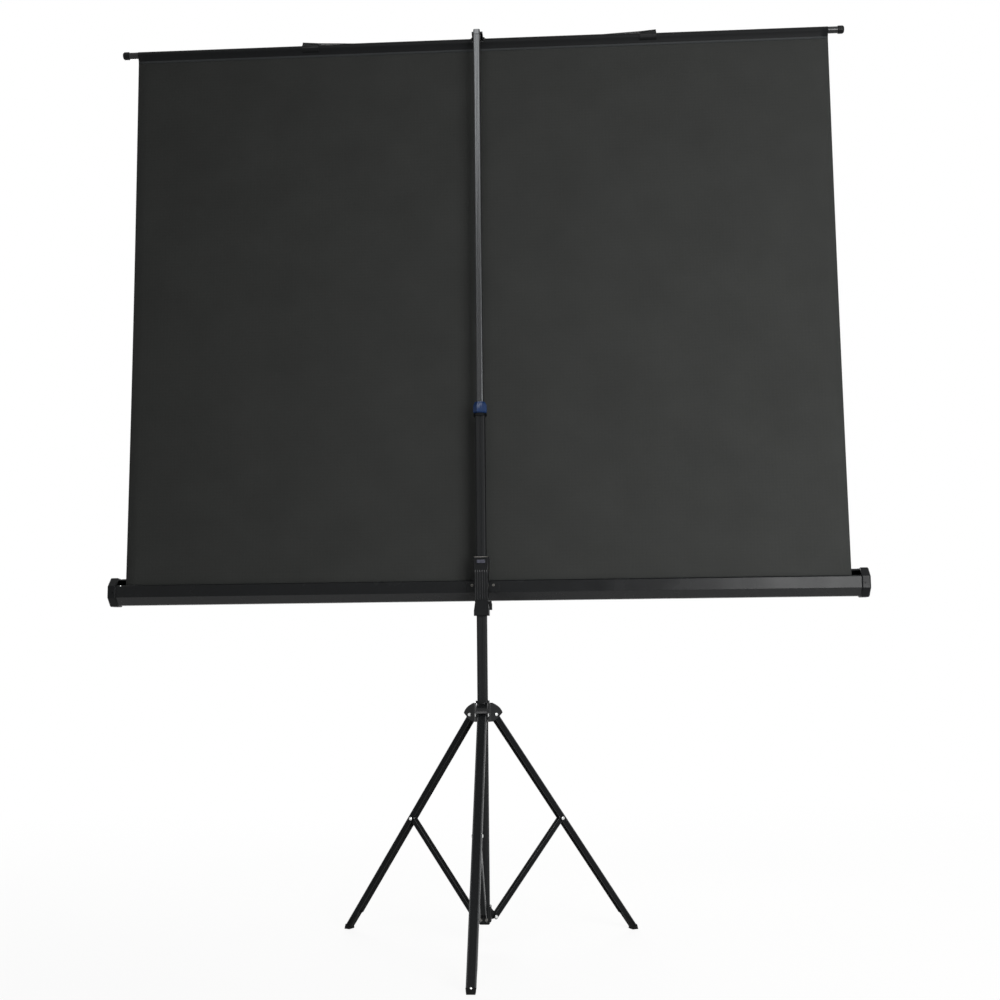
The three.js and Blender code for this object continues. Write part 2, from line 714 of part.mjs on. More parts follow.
const strapBase = HEAD_TOP - BATTEN_HEIGHT + SWING_GAP + HANGER_PLATE + GAP;
const clipInner = CLIP_OFFSET - CLIP_LENGTH / 2;
const clipOuter = CLIP_OFFSET + CLIP_LENGTH / 2;
const band = new THREE.Shape();
const bandMouth = 0.35;
band.absarc(0, 0, BAND_OUTER, bandMouth - Math.PI / 2, 1.5 * Math.PI - bandMouth);
band.absarc(0, 0, BAND_INNER, 1.5 * Math.PI - bandMouth, bandMouth - Math.PI / 2, true);
band.closePath();
for (const [side, sign] of [
  ['left', -1],
  ['right', 1],
]) {
  const end = turnedX([
    [0, -SPIGOT_LENGTH],
    [battenBore - GAP, -SPIGOT_LENGTH],
    [battenBore - GAP, GAP],
    [BATTEN_CAP_RADIUS, GAP],
    [BATTEN_CAP_RADIUS, BATTEN_CAP_LENGTH - 4],
    [BATTEN_CAP_RADIUS - 3, BATTEN_CAP_LENGTH],
    [0, BATTEN_CAP_LENGTH],
  ]);
  if (sign < 0) end.rotateZ(Math.PI);
  const endX = (sign * battenLength) / 2;
  piece(batten, `batten_cap_${side}`, end.translate(endX, 0, 0), blackPlastic);

  const wedge = alongY(
    prism(
      outline(
        [
          [clipInner, BAND_OUTER - BAND_WALL / 2],
          [clipOuter, BAND_OUTER - BAND_WALL / 2],
          [clipOuter, strapBase + CLIP_RISE - GAP],
          [clipInner, strapBase - GAP],
        ].map(([x, z]) => [sign * x, z]),
      ),
      STRAP_WIDTH - 6,
    ),
  );
  const clip = join(
    alongX(prism(band, CLIP_LENGTH, 20)).translate(sign * CLIP_OFFSET, 0, 0),
    wedge,
  );
  piece(batten, `strap_clip_${side}`, clip, blackPlastic);
}

const strapLine = [
  [-clipOuter, strapBase + CLIP_RISE],
  [-clipInner, strapBase],
  [STRAP_RUN_IN - clipInner, strapBase],
  [clipInner - STRAP_RUN_IN, strapBase],
  [clipInner, strapBase],
  [clipOuter, strapBase + CLIP_RISE],
];
const strapShape = outline([
  ...strapLine,
  ...strapLine.map(([x, z]) => [x, z + STRAP_THICKNESS]).reverse(),
]);
piece(batten, 'carry_strap', alongY(prism(strapShape, STRAP_WIDTH)), rubber);

// Hanger: plate from the batten to the mast, with a tongue in the head's cross groove
const plateBase = HEAD_TOP - BATTEN_HEIGHT + SWING_GAP;
const plateTop = plateBase + HANGER_PLATE;
const plateMiddle = (plateBase + plateTop) / 2;
const plateReach = FABRIC_Y - HEAD_WIDTH / 2 - 3;
const hangerTop = box(HANGER_WIDTH, plateReach, HANGER_PLATE).translate(
  0,
  -plateReach / 2,
  plateMiddle,
);
const neckReach = FABRIC_Y + HANGER_PLATE / 2;
const neck = box(TONGUE_WIDTH, neckReach, HANGER_PLATE).translate(0, -neckReach / 2, plateMiddle);
const tongue = box(TONGUE_WIDTH, HANGER_PLATE, TONGUE_DEPTH + HANGER_PLATE).translate(
  0,
  -FABRIC_Y,
  plateTop - (TONGUE_DEPTH + HANGER_PLATE) / 2,
);
const saddleShape = new THREE.Shape();
saddleShape.absarc(0, 0, BAND_OUTER, 0, Math.PI * 1.08);
saddleShape.absarc(0, 0, BAND_INNER, Math.PI * 1.08, 0, true);
saddleShape.closePath();
const flangeStart = HEAD_WIDTH / 2 + 6 - FABRIC_Y;
const flangeShape = outline([
  [flangeStart, plateTop],
  [flangeStart, plateBase - HANGER_FLANGE / 4],
  [-BAND_OUTER - 1, plateBase - HANGER_FLANGE],
  [-BAND_OUTER - 1, plateTop],
]);
const flangeX = (HANGER_WIDTH - HANGER_PLATE) / 2;
const hanger = join(
  hangerTop,
  neck,
  tongue,
  alongX(prism(saddleShape, HANGER_WIDTH, 12)),
  alongX(prism(flangeShape, HANGER_PLATE)).translate(flangeX, 0, 0),
  alongX(prism(flangeShape, HANGER_PLATE)).translate(-flangeX, 0, 0),
);
piece(batten, 'hanger_plate', hanger, darkSteel);

// Tripod hub: a core on the main tube with three domed lobes, each a hood over its leg
const lobeStart = HUB_CORE - 3;
const lobeShape = new THREE.Shape();
lobeShape.moveTo(0, HUB_ABOVE);
lobeShape.lineTo(lobeStart, HUB_ABOVE);
lobeShape.bezierCurveTo(
  HUB_REACH * 0.75,
  HUB_ABOVE * 0.75,
  HUB_REACH * 0.95,
  HUB_ABOVE * 0.45,
  HUB_REACH,
  0,
);
lobeShape.quadraticCurveTo(HUB_REACH, -HUB_LIP, HUB_REACH * 0.87, -HUB_LIP);
lobeShape.lineTo(HUB_CORE, -HUB_BELOW);
lobeShape.lineTo(0, -HUB_BELOW);
lobeShape.closePath();
const slotStart = HUB_PIVOT_RADIUS - LEG_DEPTH / 2 - 2;
const slotEnd = HUB_REACH - HUB_ROOF;
const slotShape = outline([
  [slotStart, -2 * HUB_BELOW],
  [2 * HUB_REACH, -2 * HUB_BELOW],
  [2 * HUB_REACH, -2 * HUB_LIP],
  [slotEnd, -2 * HUB_LIP],
  [slotEnd, HUB_LIP / 3],
  [HUB_REACH * 0.73, HUB_ABOVE * 0.67 - HUB_ROOF],
  [slotStart, HUB_ABOVE - HUB_ROOF - 1],
]);
const slotWidth = LEG_WIDTH + 2 * SWING_GAP;
const hubBore = MAST_WIDTH + 2 * HUB_GAP;
const spin = (geometry, k) => geometry.rotateZ(k * TURN);
const lobes = [0, 1, 2].map((k) => spin(radial(softPrism(lobeShape, HUB_LOBE, HUB_BEVEL, 8)), k));
const slots = [0, 1, 2].map((k) => spin(radial(prism(slotShape, slotWidth)), k));
const pivots = [0, 1, 2].map((k) =>
  spin(pinHole(2 * HUB_LOBE).translate(0, -HUB_PIVOT_RADIUS, 0), k),
);
const core = turnedZ(rod(HUB_CORE, HUB_ABOVE + HUB_BELOW), 32);
const hubBody = cut(
  join(core.translate(0, 0, (HUB_ABOVE - HUB_BELOW) / 2), ...lobes),
  ...slots,
  ...pivots,
  prism(roundedRect(hubBore, hubBore, MAST_CORNER), 8 * HUB_ABOVE),
);
const hub = new THREE.Group();
hub.position.z = HUB_PIVOT_HEIGHT;
screen.add(hub);
piece(hub, 'tripod_hub', hubBody, blackPlastic);

const ringWidth = BRACKET_WIDTH;
const ringShape = roundedRect(ringWidth, ringWidth, MAST_CORNER + 4);
ringShape.holes.push(roundedRect(hubBore, hubBore, MAST_CORNER));
const ring = prism(ringShape, HUB_RING);
piece(hub, 'hub_ring', ring.translate(0, 0, HUB_ABOVE + GAP + HUB_RING / 2), blackPlastic);

// Lower bracket: sleeve with three ears, their seats open downward
const seatRadius = PIN_RADIUS + PIN_GAP;
const earReach = BRACKET_PIVOT_RADIUS + seatRadius + EAR_WALL;
const earDrop = seatRadius + 1.5;
const earRoot = MAST_WIDTH / 2 + 3.5;
const bracketRise = MAST_BOTTOM + BRACKET_LENGTH - BRACKET_PIVOT_HEIGHT;
const earShape = outline([
  [earRoot, bracketRise - 6],
  [BRACKET_PIVOT_RADIUS - 6, seatRadius + 12],
  [earReach, seatRadius + 1],
  [earReach, -earDrop],
  [earRoot, -earDrop],
]);
const seatShape = outline([
  [BRACKET_PIVOT_RADIUS - seatRadius, 0],
  [BRACKET_PIVOT_RADIUS - 2 * seatRadius, -4 * seatRadius],
  [BRACKET_PIVOT_RADIUS + 2 * seatRadius, -4 * seatRadius],
  [BRACKET_PIVOT_RADIUS + seatRadius, 0],
]);
const ears = [0, 1, 2].map((k) => spin(radial(prism(earShape, EAR_THICKNESS)), k));
const seats = [0, 1, 2].flatMap((k) => [
  spin(radial(prism(seatShape, 2 * EAR_THICKNESS)), k),
  spin(pinHole(2 * EAR_THICKNESS).translate(0, -BRACKET_PIVOT_RADIUS, 0), k),
]);
const bracketBore = MAST_WIDTH + 2 * GAP;
const bracket = cut(
  join(
    softPrism(roundedRect(BRACKET_WIDTH, BRACKET_WIDTH, 9), BRACKET_LENGTH, 1.5).translate(
      0,
      0,
      bracketRise - BRACKET_LENGTH / 2,
    ),
    ...ears,
  ),
  ...seats,
  prism(roundedRect(bracketBore, bracketBore, MAST_CORNER), 8 * BRACKET_LENGTH),
);
piece(screen, 'lower_bracket', bracket.translate(0, 0, BRACKET_PIVOT_HEIGHT), blackPlastic);

// Leg frame: u runs down the leg from the hub pivot, v points outward and up
const sinS = Math.sin(LEG_SPLAY);
const cosS = Math.cos(LEG_SPLAY);
const LEG_FRAME = frame(axis(0, -sinS, -cosS), axis(0, -cosS, sinS), axis(-1, 0, 0));
const onLeg = (geometry) =>
  geometry.applyMatrix4(LEG_FRAME).translate(0, -HUB_PIVOT_RADIUS, HUB_PIVOT_HEIGHT);
const half = LEG_DEPTH / 2;
const web = half - LEG_WALL;
const legInner = LEG_WIDTH - 2 * LEG_WALL;
const floorAt = (v) => (HUB_PIVOT_HEIGHT + v * sinS) / cosS;

function legSide() {
  const shape = new THREE.Shape();
  shape.absarc(0, 0, half, Math.PI / 2, 1.5 * Math.PI);
  shape.lineTo(LEG_LENGTH - LEG_TRIM, -half);
  shape.lineTo(LEG_LENGTH - LEG_TIP, LEG_WALL);
  shape.lineTo(LEG_LENGTH, LEG_WALL);
  shape.lineTo(LEG_LENGTH, half);
  shape.closePath();
  return shape;
}
const channel = box(4 * LEG_LENGTH, LEG_DEPTH, legInner).translate(0, web - half, 0);
const legHole = (u, v) =>
  turnedZ(rod(PIN_RADIUS + PIN_GAP, 2 * LEG_WIDTH), 16).translate(u, v, 0);
const legBody = cut(
  prism(legSide(), LEG_WIDTH, 8),
  channel,
  legHole(0, 0),
  legHole(BRACE_ON_LEG, -BRACE_INSET),
);

const footWidth = legInner - 2 * GAP;
const footIn = web - GAP;
const footLow = 1 - half;
const treadTop = LEG_LENGTH + 2 * GAP;
const footBody = join(
  prism(
    outline([
      [LEG_LENGTH - FOOT_INSET, footLow],
      [floorAt(footLow), footLow],
      [floorAt(footIn), footIn],
      [LEG_LENGTH - FOOT_INSET, footIn],
    ]),
    footWidth,
  ),
  prism(
    outline([
      [treadTop, -FOOT_HALF],
      [floorAt(-FOOT_HALF), -FOOT_HALF],
      [floorAt(FOOT_HALF), FOOT_HALF],
      [treadTop, FOOT_HALF],
    ]),
    FOOT_TREAD,
  ),
);

// Brace: its own u runs from the leg pivot down to the bracket
const braceTop = {
  r: HUB_PIVOT_RADIUS + BRACE_ON_LEG * sinS - BRACE_INSET * cosS,
  z: HUB_PIVOT_HEIGHT - BRACE_ON_LEG * cosS - BRACE_INSET * sinS,
};
const braceRun = braceTop.r - BRACKET_PIVOT_RADIUS;
const braceDrop = braceTop.z - BRACKET_PIVOT_HEIGHT;
const braceLength = Math.hypot(braceRun, braceDrop);
const sinB = braceRun / braceLength;
const cosB = braceDrop / braceLength;
const BRACE_FRAME = frame(axis(0, sinB, -cosB), axis(0, -cosB, -sinB), axis(-1, 0, 0));
const onBrace = (geometry) =>
  geometry.applyMatrix4(BRACE_FRAME).translate(0, -braceTop.r, braceTop.z);

function braceSide() {
  const radius = BRACE_DEPTH / 2;
  const shape = new THREE.Shape();
  shape.absarc(0, 0, radius, Math.PI / 2, 1.5 * Math.PI);
  shape.absarc(braceLength, 0, radius, -Math.PI / 2, Math.PI / 2);
  shape.closePath();
  return shape;
}
const braceInner = BRACE_WIDTH - 2 * BRACE_WALL;
const braceHole = (u) => legHole(u, 0);
const braceBody = cut(
  prism(braceSide(), BRACE_WIDTH, 8),
  box(4 * braceLength, BRACE_DEPTH, braceInner).translate(0, -BRACE_WALL, 0),
  box(2 * BRACE_FORK, 2 * BRACE_DEPTH, braceInner).translate(braceLength, 0, 0),
  braceHole(0),
  braceHole(braceLength),
);

const placedLeg = onLeg(legBody);
const placedFoot = onLeg(footBody);
const placedBrace = onBrace(braceBody);
const legPin = rivet(HUB_LOBE, HEAD_RADIUS, HEAD_THICKNESS).translate(
  0,
  -HUB_PIVOT_RADIUS,
  HUB_PIVOT_HEIGHT,
);
const upperPin = rivet(LEG_WIDTH, BRACE_HEAD_RADIUS, BRACE_HEAD_THICKNESS).translate(
  0,
  -braceTop.r,
  braceTop.z,
);
const lowerPin = rivet(BRACE_WIDTH, LOW_HEAD_RADIUS, LOW_HEAD_THICKNESS).translate(
  0,
  -BRACKET_PIVOT_RADIUS,
  BRACKET_PIVOT_HEIGHT,
);
for (const [side, k] of [
  ['front', 0],
  ['right', 1],
  ['left', -1],
]) {
  const limb = new THREE.Group();
  limb.rotation.z = k * TURN;
  screen.add(limb);
  piece(limb, `leg_${side}`, placedLeg, blackPaint);
  piece(limb, `leg_foot_${side}`, placedFoot, rubber);
  piece(limb, `leg_pin_${side}`, legPin, brightSteel);
  piece(limb, `brace_pin_${side}`, upperPin, brightSteel);
  piece(limb, `brace_${side}`, placedBrace, blackPaint);
  piece(limb, `brace_foot_pin_${side}`, lowerPin, brightSteel);
}

// The bounding box is centred over the origin
const bounds = new THREE.Box3().setFromObject(screen, true);
screen.position.y = -(bounds.min.y + bounds.max.y) / 2;

export default screen;
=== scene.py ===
"""Tripod projection screen seen from its black-backed side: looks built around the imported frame."""

import math

import bmesh
import bpy
from bmesh.types import BMEdge, BMVert
from mathutils import Matrix, Vector


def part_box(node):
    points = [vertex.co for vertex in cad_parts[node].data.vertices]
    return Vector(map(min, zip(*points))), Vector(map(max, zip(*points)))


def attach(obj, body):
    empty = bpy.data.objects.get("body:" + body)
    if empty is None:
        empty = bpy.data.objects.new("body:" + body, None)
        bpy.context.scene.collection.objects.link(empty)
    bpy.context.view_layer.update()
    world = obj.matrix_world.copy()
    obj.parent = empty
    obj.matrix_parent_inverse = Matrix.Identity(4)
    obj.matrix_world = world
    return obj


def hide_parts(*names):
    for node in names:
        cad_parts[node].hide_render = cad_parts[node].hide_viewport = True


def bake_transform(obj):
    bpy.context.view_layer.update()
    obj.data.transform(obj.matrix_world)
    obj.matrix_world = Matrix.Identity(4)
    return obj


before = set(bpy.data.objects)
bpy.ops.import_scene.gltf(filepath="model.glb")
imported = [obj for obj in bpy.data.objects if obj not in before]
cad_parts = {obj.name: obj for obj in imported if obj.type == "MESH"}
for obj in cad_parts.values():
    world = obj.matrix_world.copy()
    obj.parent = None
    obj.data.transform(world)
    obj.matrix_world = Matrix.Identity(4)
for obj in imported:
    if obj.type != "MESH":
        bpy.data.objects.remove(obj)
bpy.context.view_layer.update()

bl_info = {
    "name": "Tripod projection screen",
    "version": (1, 0, 0),
    "blender": (4, 5, 0),
    "location": "View3D > Sidebar > Screen",
    "description": "Builds the looks of a tripod projection screen around its packed frame",
    "category": "Object",
}

MM = 0.001
SIDES = (("left", -1), ("right", 1))
LEGS = ("front", "right", "left")
UP = Vector((0, 0, 1))
# Degrees between two faces that only an edge not yet rounded reaches
SQUARE = 50


def linear(code):
    """sRGB hex colour as linear red, green and blue."""
    parts = [int(code[i : i + 2], 16) / 255 for i in (1, 3, 5)]
    return tuple(c / 12.92 if c <= 0.04045 else ((c + 0.055) / 1.055) ** 2.4 for c in parts)


def colour(name, description, code):
    """A colour that a user can change."""
    return bpy.props.FloatVectorProperty(
        name=name, description=description, subtype="COLOR", min=0, max=1, default=linear(code)
    )


def number(name, description, default, **kind):
    """A number that a user can change, with its unit or subtype."""
    return bpy.props.FloatProperty(name=name, description=description, default=default, **kind)


def size(name, description, millimetres):
    """A length that a user can change."""
    return number(name, description, millimetres * MM, unit="LENGTH", min=0)


class ScreenSizes(bpy.types.PropertyGroup):
    """Lengths of the pieces that the frame doesn't fix."""

    cloth: size("Cloth", "Thickness of the screen cloth", 0.5)
    image_width: size("Image width", "White image between the black borders", 2032)
    image_height: size("Image height", "White image, three quarters of its width", 1524)
    top_border: size("Top border", "Black above the image, up to the batten pocket", 38)
    pocket_weld: size("Pocket weld", "Flap welded down below the batten", 9)
    side_curl: size("Side curl", "How far the free edges curl to the viewing side", 4)
    ripple: size("Ripple", "Height of the faint waves that the pull leaves in the cloth", 0.7)
    strap: size("Strap", "Thickness of the carrying strap", 1.5)
    plate_screw: size("Plate screw", "Radius of the screw heads beside the carriage", 4.2)
    cap_screw: size("Cap screw", "Radius of the screw heads in the end caps", 3.2)
    foot_rivet: size("Foot rivet", "Radius of the rivet that holds each foot", 2.9)
    leg_bend: size("Leg bend", "Outer radius of the bends of the legs", 4.5)
    brace_bend: size("Brace bend", "Outer radius of the bends of the braces", 3.4)


class ScreenColours(bpy.types.PropertyGroup):
    """Colours of the finishes."""

    backing: colour("Backing", "Black coat on the back of the cloth", "#2A2B2A")
    border: colour("Border", "Black print round the image", "#121314")
    weld: colour("Weld", "Pressed strip where the batten pocket is welded shut", "#2F3132")
    image: colour("Image", "Matt white viewing surface", "#EDEDEA")
    paint: colour("Paint", "Satin powder coat on the steel", "#131415")
    # Paler coat on the bends of the channels: a painted highlight where the bends catch the light.
    burnished: colour("Burnished", "Coat polished along the bends of the channels", "#343536")
    # Paler coat inside the channels: painted fill light where the hollow lies in shade.
    dusty: colour("Dusty", "Coat inside the channels, dulled by dust", "#262727")
    anodised: colour("Anodised", "Dark anodised extension tube", "#3D3E3F")
    moulding: colour("Moulding", "Black moulded plastic", "#0D0E0F")
    # Grip rib crests and their upper ends: painted highlight and painted glint, lighter where the
    # ribs catch the light.
    rubbed: colour("Rubbed", "Grip ribs polished by hands", "#1B1C1D")
    worn: colour("Worn", "Upper ends of the grip ribs, worn grey", "#4A4B4B")
    collar: colour("Collar", "Blue lock collar", "#15294B")
    button: colour("Button", "Blue-grey release button", "#34353F")
    zinc: colour("Zinc", "Bright zinc plate on rivets and screws", "#D2D3D2")
    rubber: colour("Rubber", "Black feet", "#0D0D0D")
    webbing: colour("Webbing", "Black carrying strap", "#1B1B1B")
    spring: colour("Spring", "Oiled spring wire and roller steel", "#6E6C68")
    floor: colour("Floor", "Pale studio floor", "#F1F1EF")


class ScreenStage(bpy.types.PropertyGroup):
    """Camera and lamps."""

    camera: bpy.props.FloatVectorProperty(
        name="Camera", description="Where the camera stands", subtype="XYZ", unit="LENGTH",
        default=(0.2555, -3.5028, 0.8008),
    )
    turn: number("Turn", "View turned to the left", 0.0553, subtype="ANGLE")
    tilt: number("Tilt", "View raised above level", 0.121, subtype="ANGLE")
    roll: number("Roll", "View rolled about its own line", -0.0109, subtype="ANGLE")
    lens: number("Lens", "Focal length on a 36 mm sensor", 45.78, unit="CAMERA")
    key: number("Key", "Power of the softbox at the right", 122, unit="POWER")
    overhead: number("Overhead", "Power of the high softbox behind the camera", 35, unit="POWER")
    viewing: number("Viewing", "Power of the softbox on the viewing side", 245, unit="POWER")
    ambient: number("Ambient", "Light from all round on the object", 0.14)


# Materials

def add(tree, kind, links=None, **settings):
    """Adds a node with its settings; links gives an input a value or another node's output."""
    node = tree.nodes.new(kind)
    for key, value in settings.items():
        setattr(node, key, value)
    for socket, source in (links or {}).items():
        if isinstance(source, bpy.types.NodeSocket):
            tree.links.new(source, node.inputs[socket])
        else:
            node.inputs[socket].default_value = source
    return node


def start(name, roughness, metallic=0.0, specular=0.5):
    """A new material with the values that are the same all over its surface."""
    material = bpy.data.materials.new(name)
    material.use_nodes = True
    tree = material.node_tree
    shader = tree.nodes["Principled BSDF"]
    shader.inputs["Roughness"].default_value = roughness
    shader.inputs["Metallic"].default_value = metallic
    shader.inputs["Specular IOR Level"].default_value = specular
    return material, tree, shader


def per_mm(millimetres):
    """Noise scale for a pattern whose features are that large."""
    return 1 / (millimetres * MM)


def ridges(millimetres):
    """Wave scale at which each ridge, and each groove beside it, is that wide."""
    return per_mm(millimetres) / 20 * math.pi


def pattern(tree, shader, tone, shares, shade, relief, height):
    """Shades a tone between two shares of itself by one pattern, and lifts it by another."""
    dark, light = ((*(c * share for c in tone), 1) for share in shares)
    mix = add(tree, "ShaderNodeMix", {0: shade, 6: dark, 7: light}, data_type="RGBA")
    bump = add(tree, "ShaderNodeBump", {"Height": relief, "Strength": 1, "Distance": height * MM})
    tree.links.new(mix.outputs[2], shader.inputs["Base Color"])
    tree.links.new(bump.outputs["Normal"], shader.inputs["Normal"])


def surface(tree, shader, tone, spread, patch, grain, bump, roughness, place=None):
    """Colour and gloss that drift over patches, and a fine grain that lifts the surface.

    Patch and grain are the sizes of these features and bump is the grain's height, in
    millimetres; roughness runs from the glossiest patch to the dullest.
    """
    if place is None:
        place = add(tree, "ShaderNodeTexCoord").outputs["Object"]
    drift = add(tree, "ShaderNodeTexNoise", {"Vector": place, "Scale": per_mm(patch), "Detail": 4})
    fine = add(tree, "ShaderNodeTexNoise", {"Vector": place, "Scale": per_mm(grain), "Detail": 3})
    shares = (1 - spread, 1 + spread)
    pattern(tree, shader, tone, shares, drift.outputs["Fac"], fine.outputs["Fac"], bump)
    # Most of the noise lies between these two values.
    gloss = add(
        tree, "ShaderNodeMapRange",
        {"Value": drift.outputs["Fac"], "From Min": 0.3, "From Max": 0.7,
         "To Min": roughness[0], "To Max": roughness[1]},
    )
    tree.links.new(gloss.outputs["Result"], shader.inputs["Roughness"])


def powder_coat(name, tone, roughness, specular):
    """Polyester powder coat, baked on rolled steel: satin, with orange peel and dull patches."""
    material, tree, shader = start(name, roughness[0], specular=specular)
    surface(tree, shader, tone, spread=0.12, patch=90, grain=2.4, bump=0.012, roughness=roughness)
    return material


def anodised_tube(name, tone):
    """Drawn aluminium, anodised dark: long draw lines and a soft metal sheen along the tube."""
    material, tree, shader = start(name, 0.3, metallic=1)
    place = add(tree, "ShaderNodeTexCoord").outputs["Object"]
    drawn = add(tree, "ShaderNodeMapping", {"Vector": place, "Scale": (1, 1, 0.01)})
    # The lines are about 0.1 mm apart on the tube; 1.5 mm is as fine as shows here.
    surface(
        tree, shader, tone, spread=0.14, patch=9, grain=1.5, bump=0.01, roughness=(0.22, 0.31),
        place=drawn.outputs["Vector"],
    )
    return material


def moulding(name, tone, roughness, specular):
    """Injection-moulded ABS with a spark-eroded grain that breaks up its highlights."""
    material, tree, shader = start(name, roughness[0], specular=specular)
    surface(tree, shader, tone, spread=0.1, patch=40, grain=1.1, bump=0.02, roughness=roughness)
    return material


def zinc_plate(name, tone):
    """Bright zinc over turned or headed steel: clouded gloss and fine handling marks."""
    material, tree, shader = start(name, 0.25, metallic=1)
    surface(tree, shader, tone, spread=0.08, patch=6, grain=0.6, bump=0.01, roughness=(0.18, 0.34))
    return material


def bare_steel(name, tone):
    """Cold-drawn spring wire and roller tube, lightly oiled: grey metal with darker bands."""
    material, tree, shader = start(name, 0.35, metallic=1)
    surface(tree, shader, tone, spread=0.2, patch=25, grain=1.2, bump=0.01, roughness=(0.28, 0.45))
    return material


def foot_rubber(name, tone):
    """Moulded rubber: dull black, grey with dust where it is scuffed."""
    material, tree, shader = start(name, 0.8, specular=0.1)
    surface(tree, shader, tone, spread=0.3, patch=12, grain=0.9, bump=0.04, roughness=(0.7, 0.9))
    return material


def weave(tree, place, thread, direction):
    """Ridges of threads that run across one direction of the cloth's own map."""
    return add(
        tree, "ShaderNodeTexWave",
        {"Vector": place, "Scale": ridges(thread), "Distortion": 0.6, "Detail": 1,
         "Detail Scale": 0.5},
        wave_type="BANDS", bands_direction=direction,
    )


def cloth_coat(name, tone, spread, specular, roughness, lift, sheen):
    """Fibreglass cloth with a calendered vinyl coat: the weave shows through as a faint grain."""
    material, tree, shader = start(name, roughness, specular=specular)
    place = add(tree, "ShaderNodeUVMap", uv_map="cloth").outputs["UV"]
    # Threads lie 0.6 mm apart; 5 mm is as fine as shows here.
    warp, weft = (weave(tree, place, 5, direction) for direction in "XY")
    threads = add(
        tree, "ShaderNodeMath", {0: warp.outputs["Fac"], 1: weft.outputs["Fac"]}, operation="ADD"
    )
    # Clouds as broad as a hand, with small specks of the coat in them
    cloud = add(tree, "ShaderNodeTexNoise", {"Vector": place, "Scale": per_mm(160), "Detail": 5})
    speck = add(tree, "ShaderNodeTexNoise", {"Vector": place, "Scale": per_mm(7), "Detail": 2})
    blotch = add(
        tree, "ShaderNodeMath",
        {0: speck.outputs["Fac"], 1: 0.35, 2: cloud.outputs["Fac"]}, operation="MULTIPLY_ADD",
    )
    shade = add(
        tree, "ShaderNodeMapRange",
        {"Value": blotch.outputs["Value"], "From Min": 0.4, "From Max": 0.95},
    )
    shares = (1 - spread, 1 + spread)
    pattern(tree, shader, tone, shares, shade.outputs["Result"], threads.outputs["Value"], lift)
    shader.inputs["Sheen Weight"].default_value = sheen
    shader.inputs["Sheen Roughness"].default_value = 0.6
    return material


def webbing(name, tone):
    """Woven polypropylene strap: diagonal ribs and a slight plastic shine."""
    material, tree, shader = start(name, 0.55, specular=0.35)
    place = add(tree, "ShaderNodeTexCoord").outputs["Object"]
    slant = (0, 0, math.radians(40))
    slanted = add(tree, "ShaderNodeMapping", {"Vector": place, "Rotation": slant})
    ribs = add(
        tree, "ShaderNodeTexWave",
        {"Vector": slanted.outputs["Vector"], "Scale": ridges(2), "Distortion": 1},
        wave_type="BANDS", bands_direction="X",
    )
    rib = ribs.outputs["Fac"]
    pattern(tree, shader, tone, (0.6, 1.25), rib, rib, 0.2)
    return material


# Each finish: its maker, its colour and the maker's settings. Coats and mouldings take the
# roughness of the glossiest and the dullest patches and the specular level. Cloths take the spread
# of the colour, the specular level, the roughness, the height of the weave and the sheen.
FINISHES = {
    "powder_coated_steel": (powder_coat, "paint", (0.2, 0.3), 0.1),
    # Legs and braces, rubbed dull on their flat faces
    "dull_coated_steel": (powder_coat, "paint", (0.2, 0.3), 0.04),
    # Underside of the case, which mirrors the pale floor
    "smooth_coated_steel": (powder_coat, "paint", (0.2, 0.3), 0.25),
    # Mast, dulled by the carriage that slides on it
    "matt_coated_steel": (powder_coat, "paint", (0.4, 0.5), 0.1),
    # Batten, glossy at its bare ends
    "lacquered_steel": (powder_coat, "paint", (0.14, 0.22), 0.3),
    # Painted fill light: a paler coat inside the hollows of the channels, where they lie in shade
    "dusty_coat": (powder_coat, "dusty", (0.5, 0.6), 0.04),
    # Painted highlight: a paler coat on the bends of legs and braces, and on the front leg's flange
    # edges
    "burnished_coat": (powder_coat, "burnished", (0.2, 0.3), 0.2),
    "anodised_aluminium": (anodised_tube, "anodised"),
    "moulded_abs": (moulding, "moulding", (0.28, 0.4), 0.1),
    # Hub, polished by hands
    "glossy_abs": (moulding, "moulding", (0.2, 0.3), 0.24),
    # Painted highlight on the rib crests, and a paler painted glint on their upper ends
    "rubbed_abs": (moulding, "rubbed", (0.24, 0.34), 0.16),
    "worn_abs": (moulding, "worn", (0.3, 0.4), 0.2),
    "blue_abs": (moulding, "collar", (0.18, 0.28), 0.18),
    "grey_blue_abs": (moulding, "button", (0.2, 0.3), 0.3),
    "zinc_plated_steel": (zinc_plate, "zinc"),
    "drawn_steel": (bare_steel, "spring"),
    "moulded_rubber": (foot_rubber, "rubber"),
    "polypropylene_webbing": (webbing, "webbing"),
    "black_vinyl_backing": (cloth_coat, "backing", 0.1, 0.05, 0.75, 0.05, 0.04),
    "black_border_print": (cloth_coat, "border", 0.1, 0.06, 0.5, 0.03, 0.02),
    "pressed_vinyl_weld": (cloth_coat, "weld", 0.1, 0.06, 0.5, 0.02, 0.04),
    "matt_white_vinyl": (cloth_coat, "image", 0.012, 0.2, 0.8, 0.03, 0.04),
}


def finish(name):
    """The material of that name, made on first use from the scene's colours."""
    maker, tone, *settings = FINISHES[name]
    made = bpy.data.materials.get(name)
    return made or maker(name, getattr(bpy.context.scene.screen_colours, tone), *settings)


def seen_directly(tree):
    """1 for what is seen, mirrored or shown by a clear piece, 0 for light that falls on things."""
    path = add(tree, "ShaderNodeLightPath").outputs
    seen = path["Is Camera Ray"]
    for ray in ("Is Glossy Ray", "Is Transmission Ray"):
        either = add(tree, "ShaderNodeMath", {0: seen, 1: path[ray]}, operation="MAXIMUM")
        seen = either.outputs["Value"]
    return seen


# Mesh helpers

def middle(node):
    """Centre of a CAD node's box."""
    low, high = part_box(node)
    return (low + high) / 2


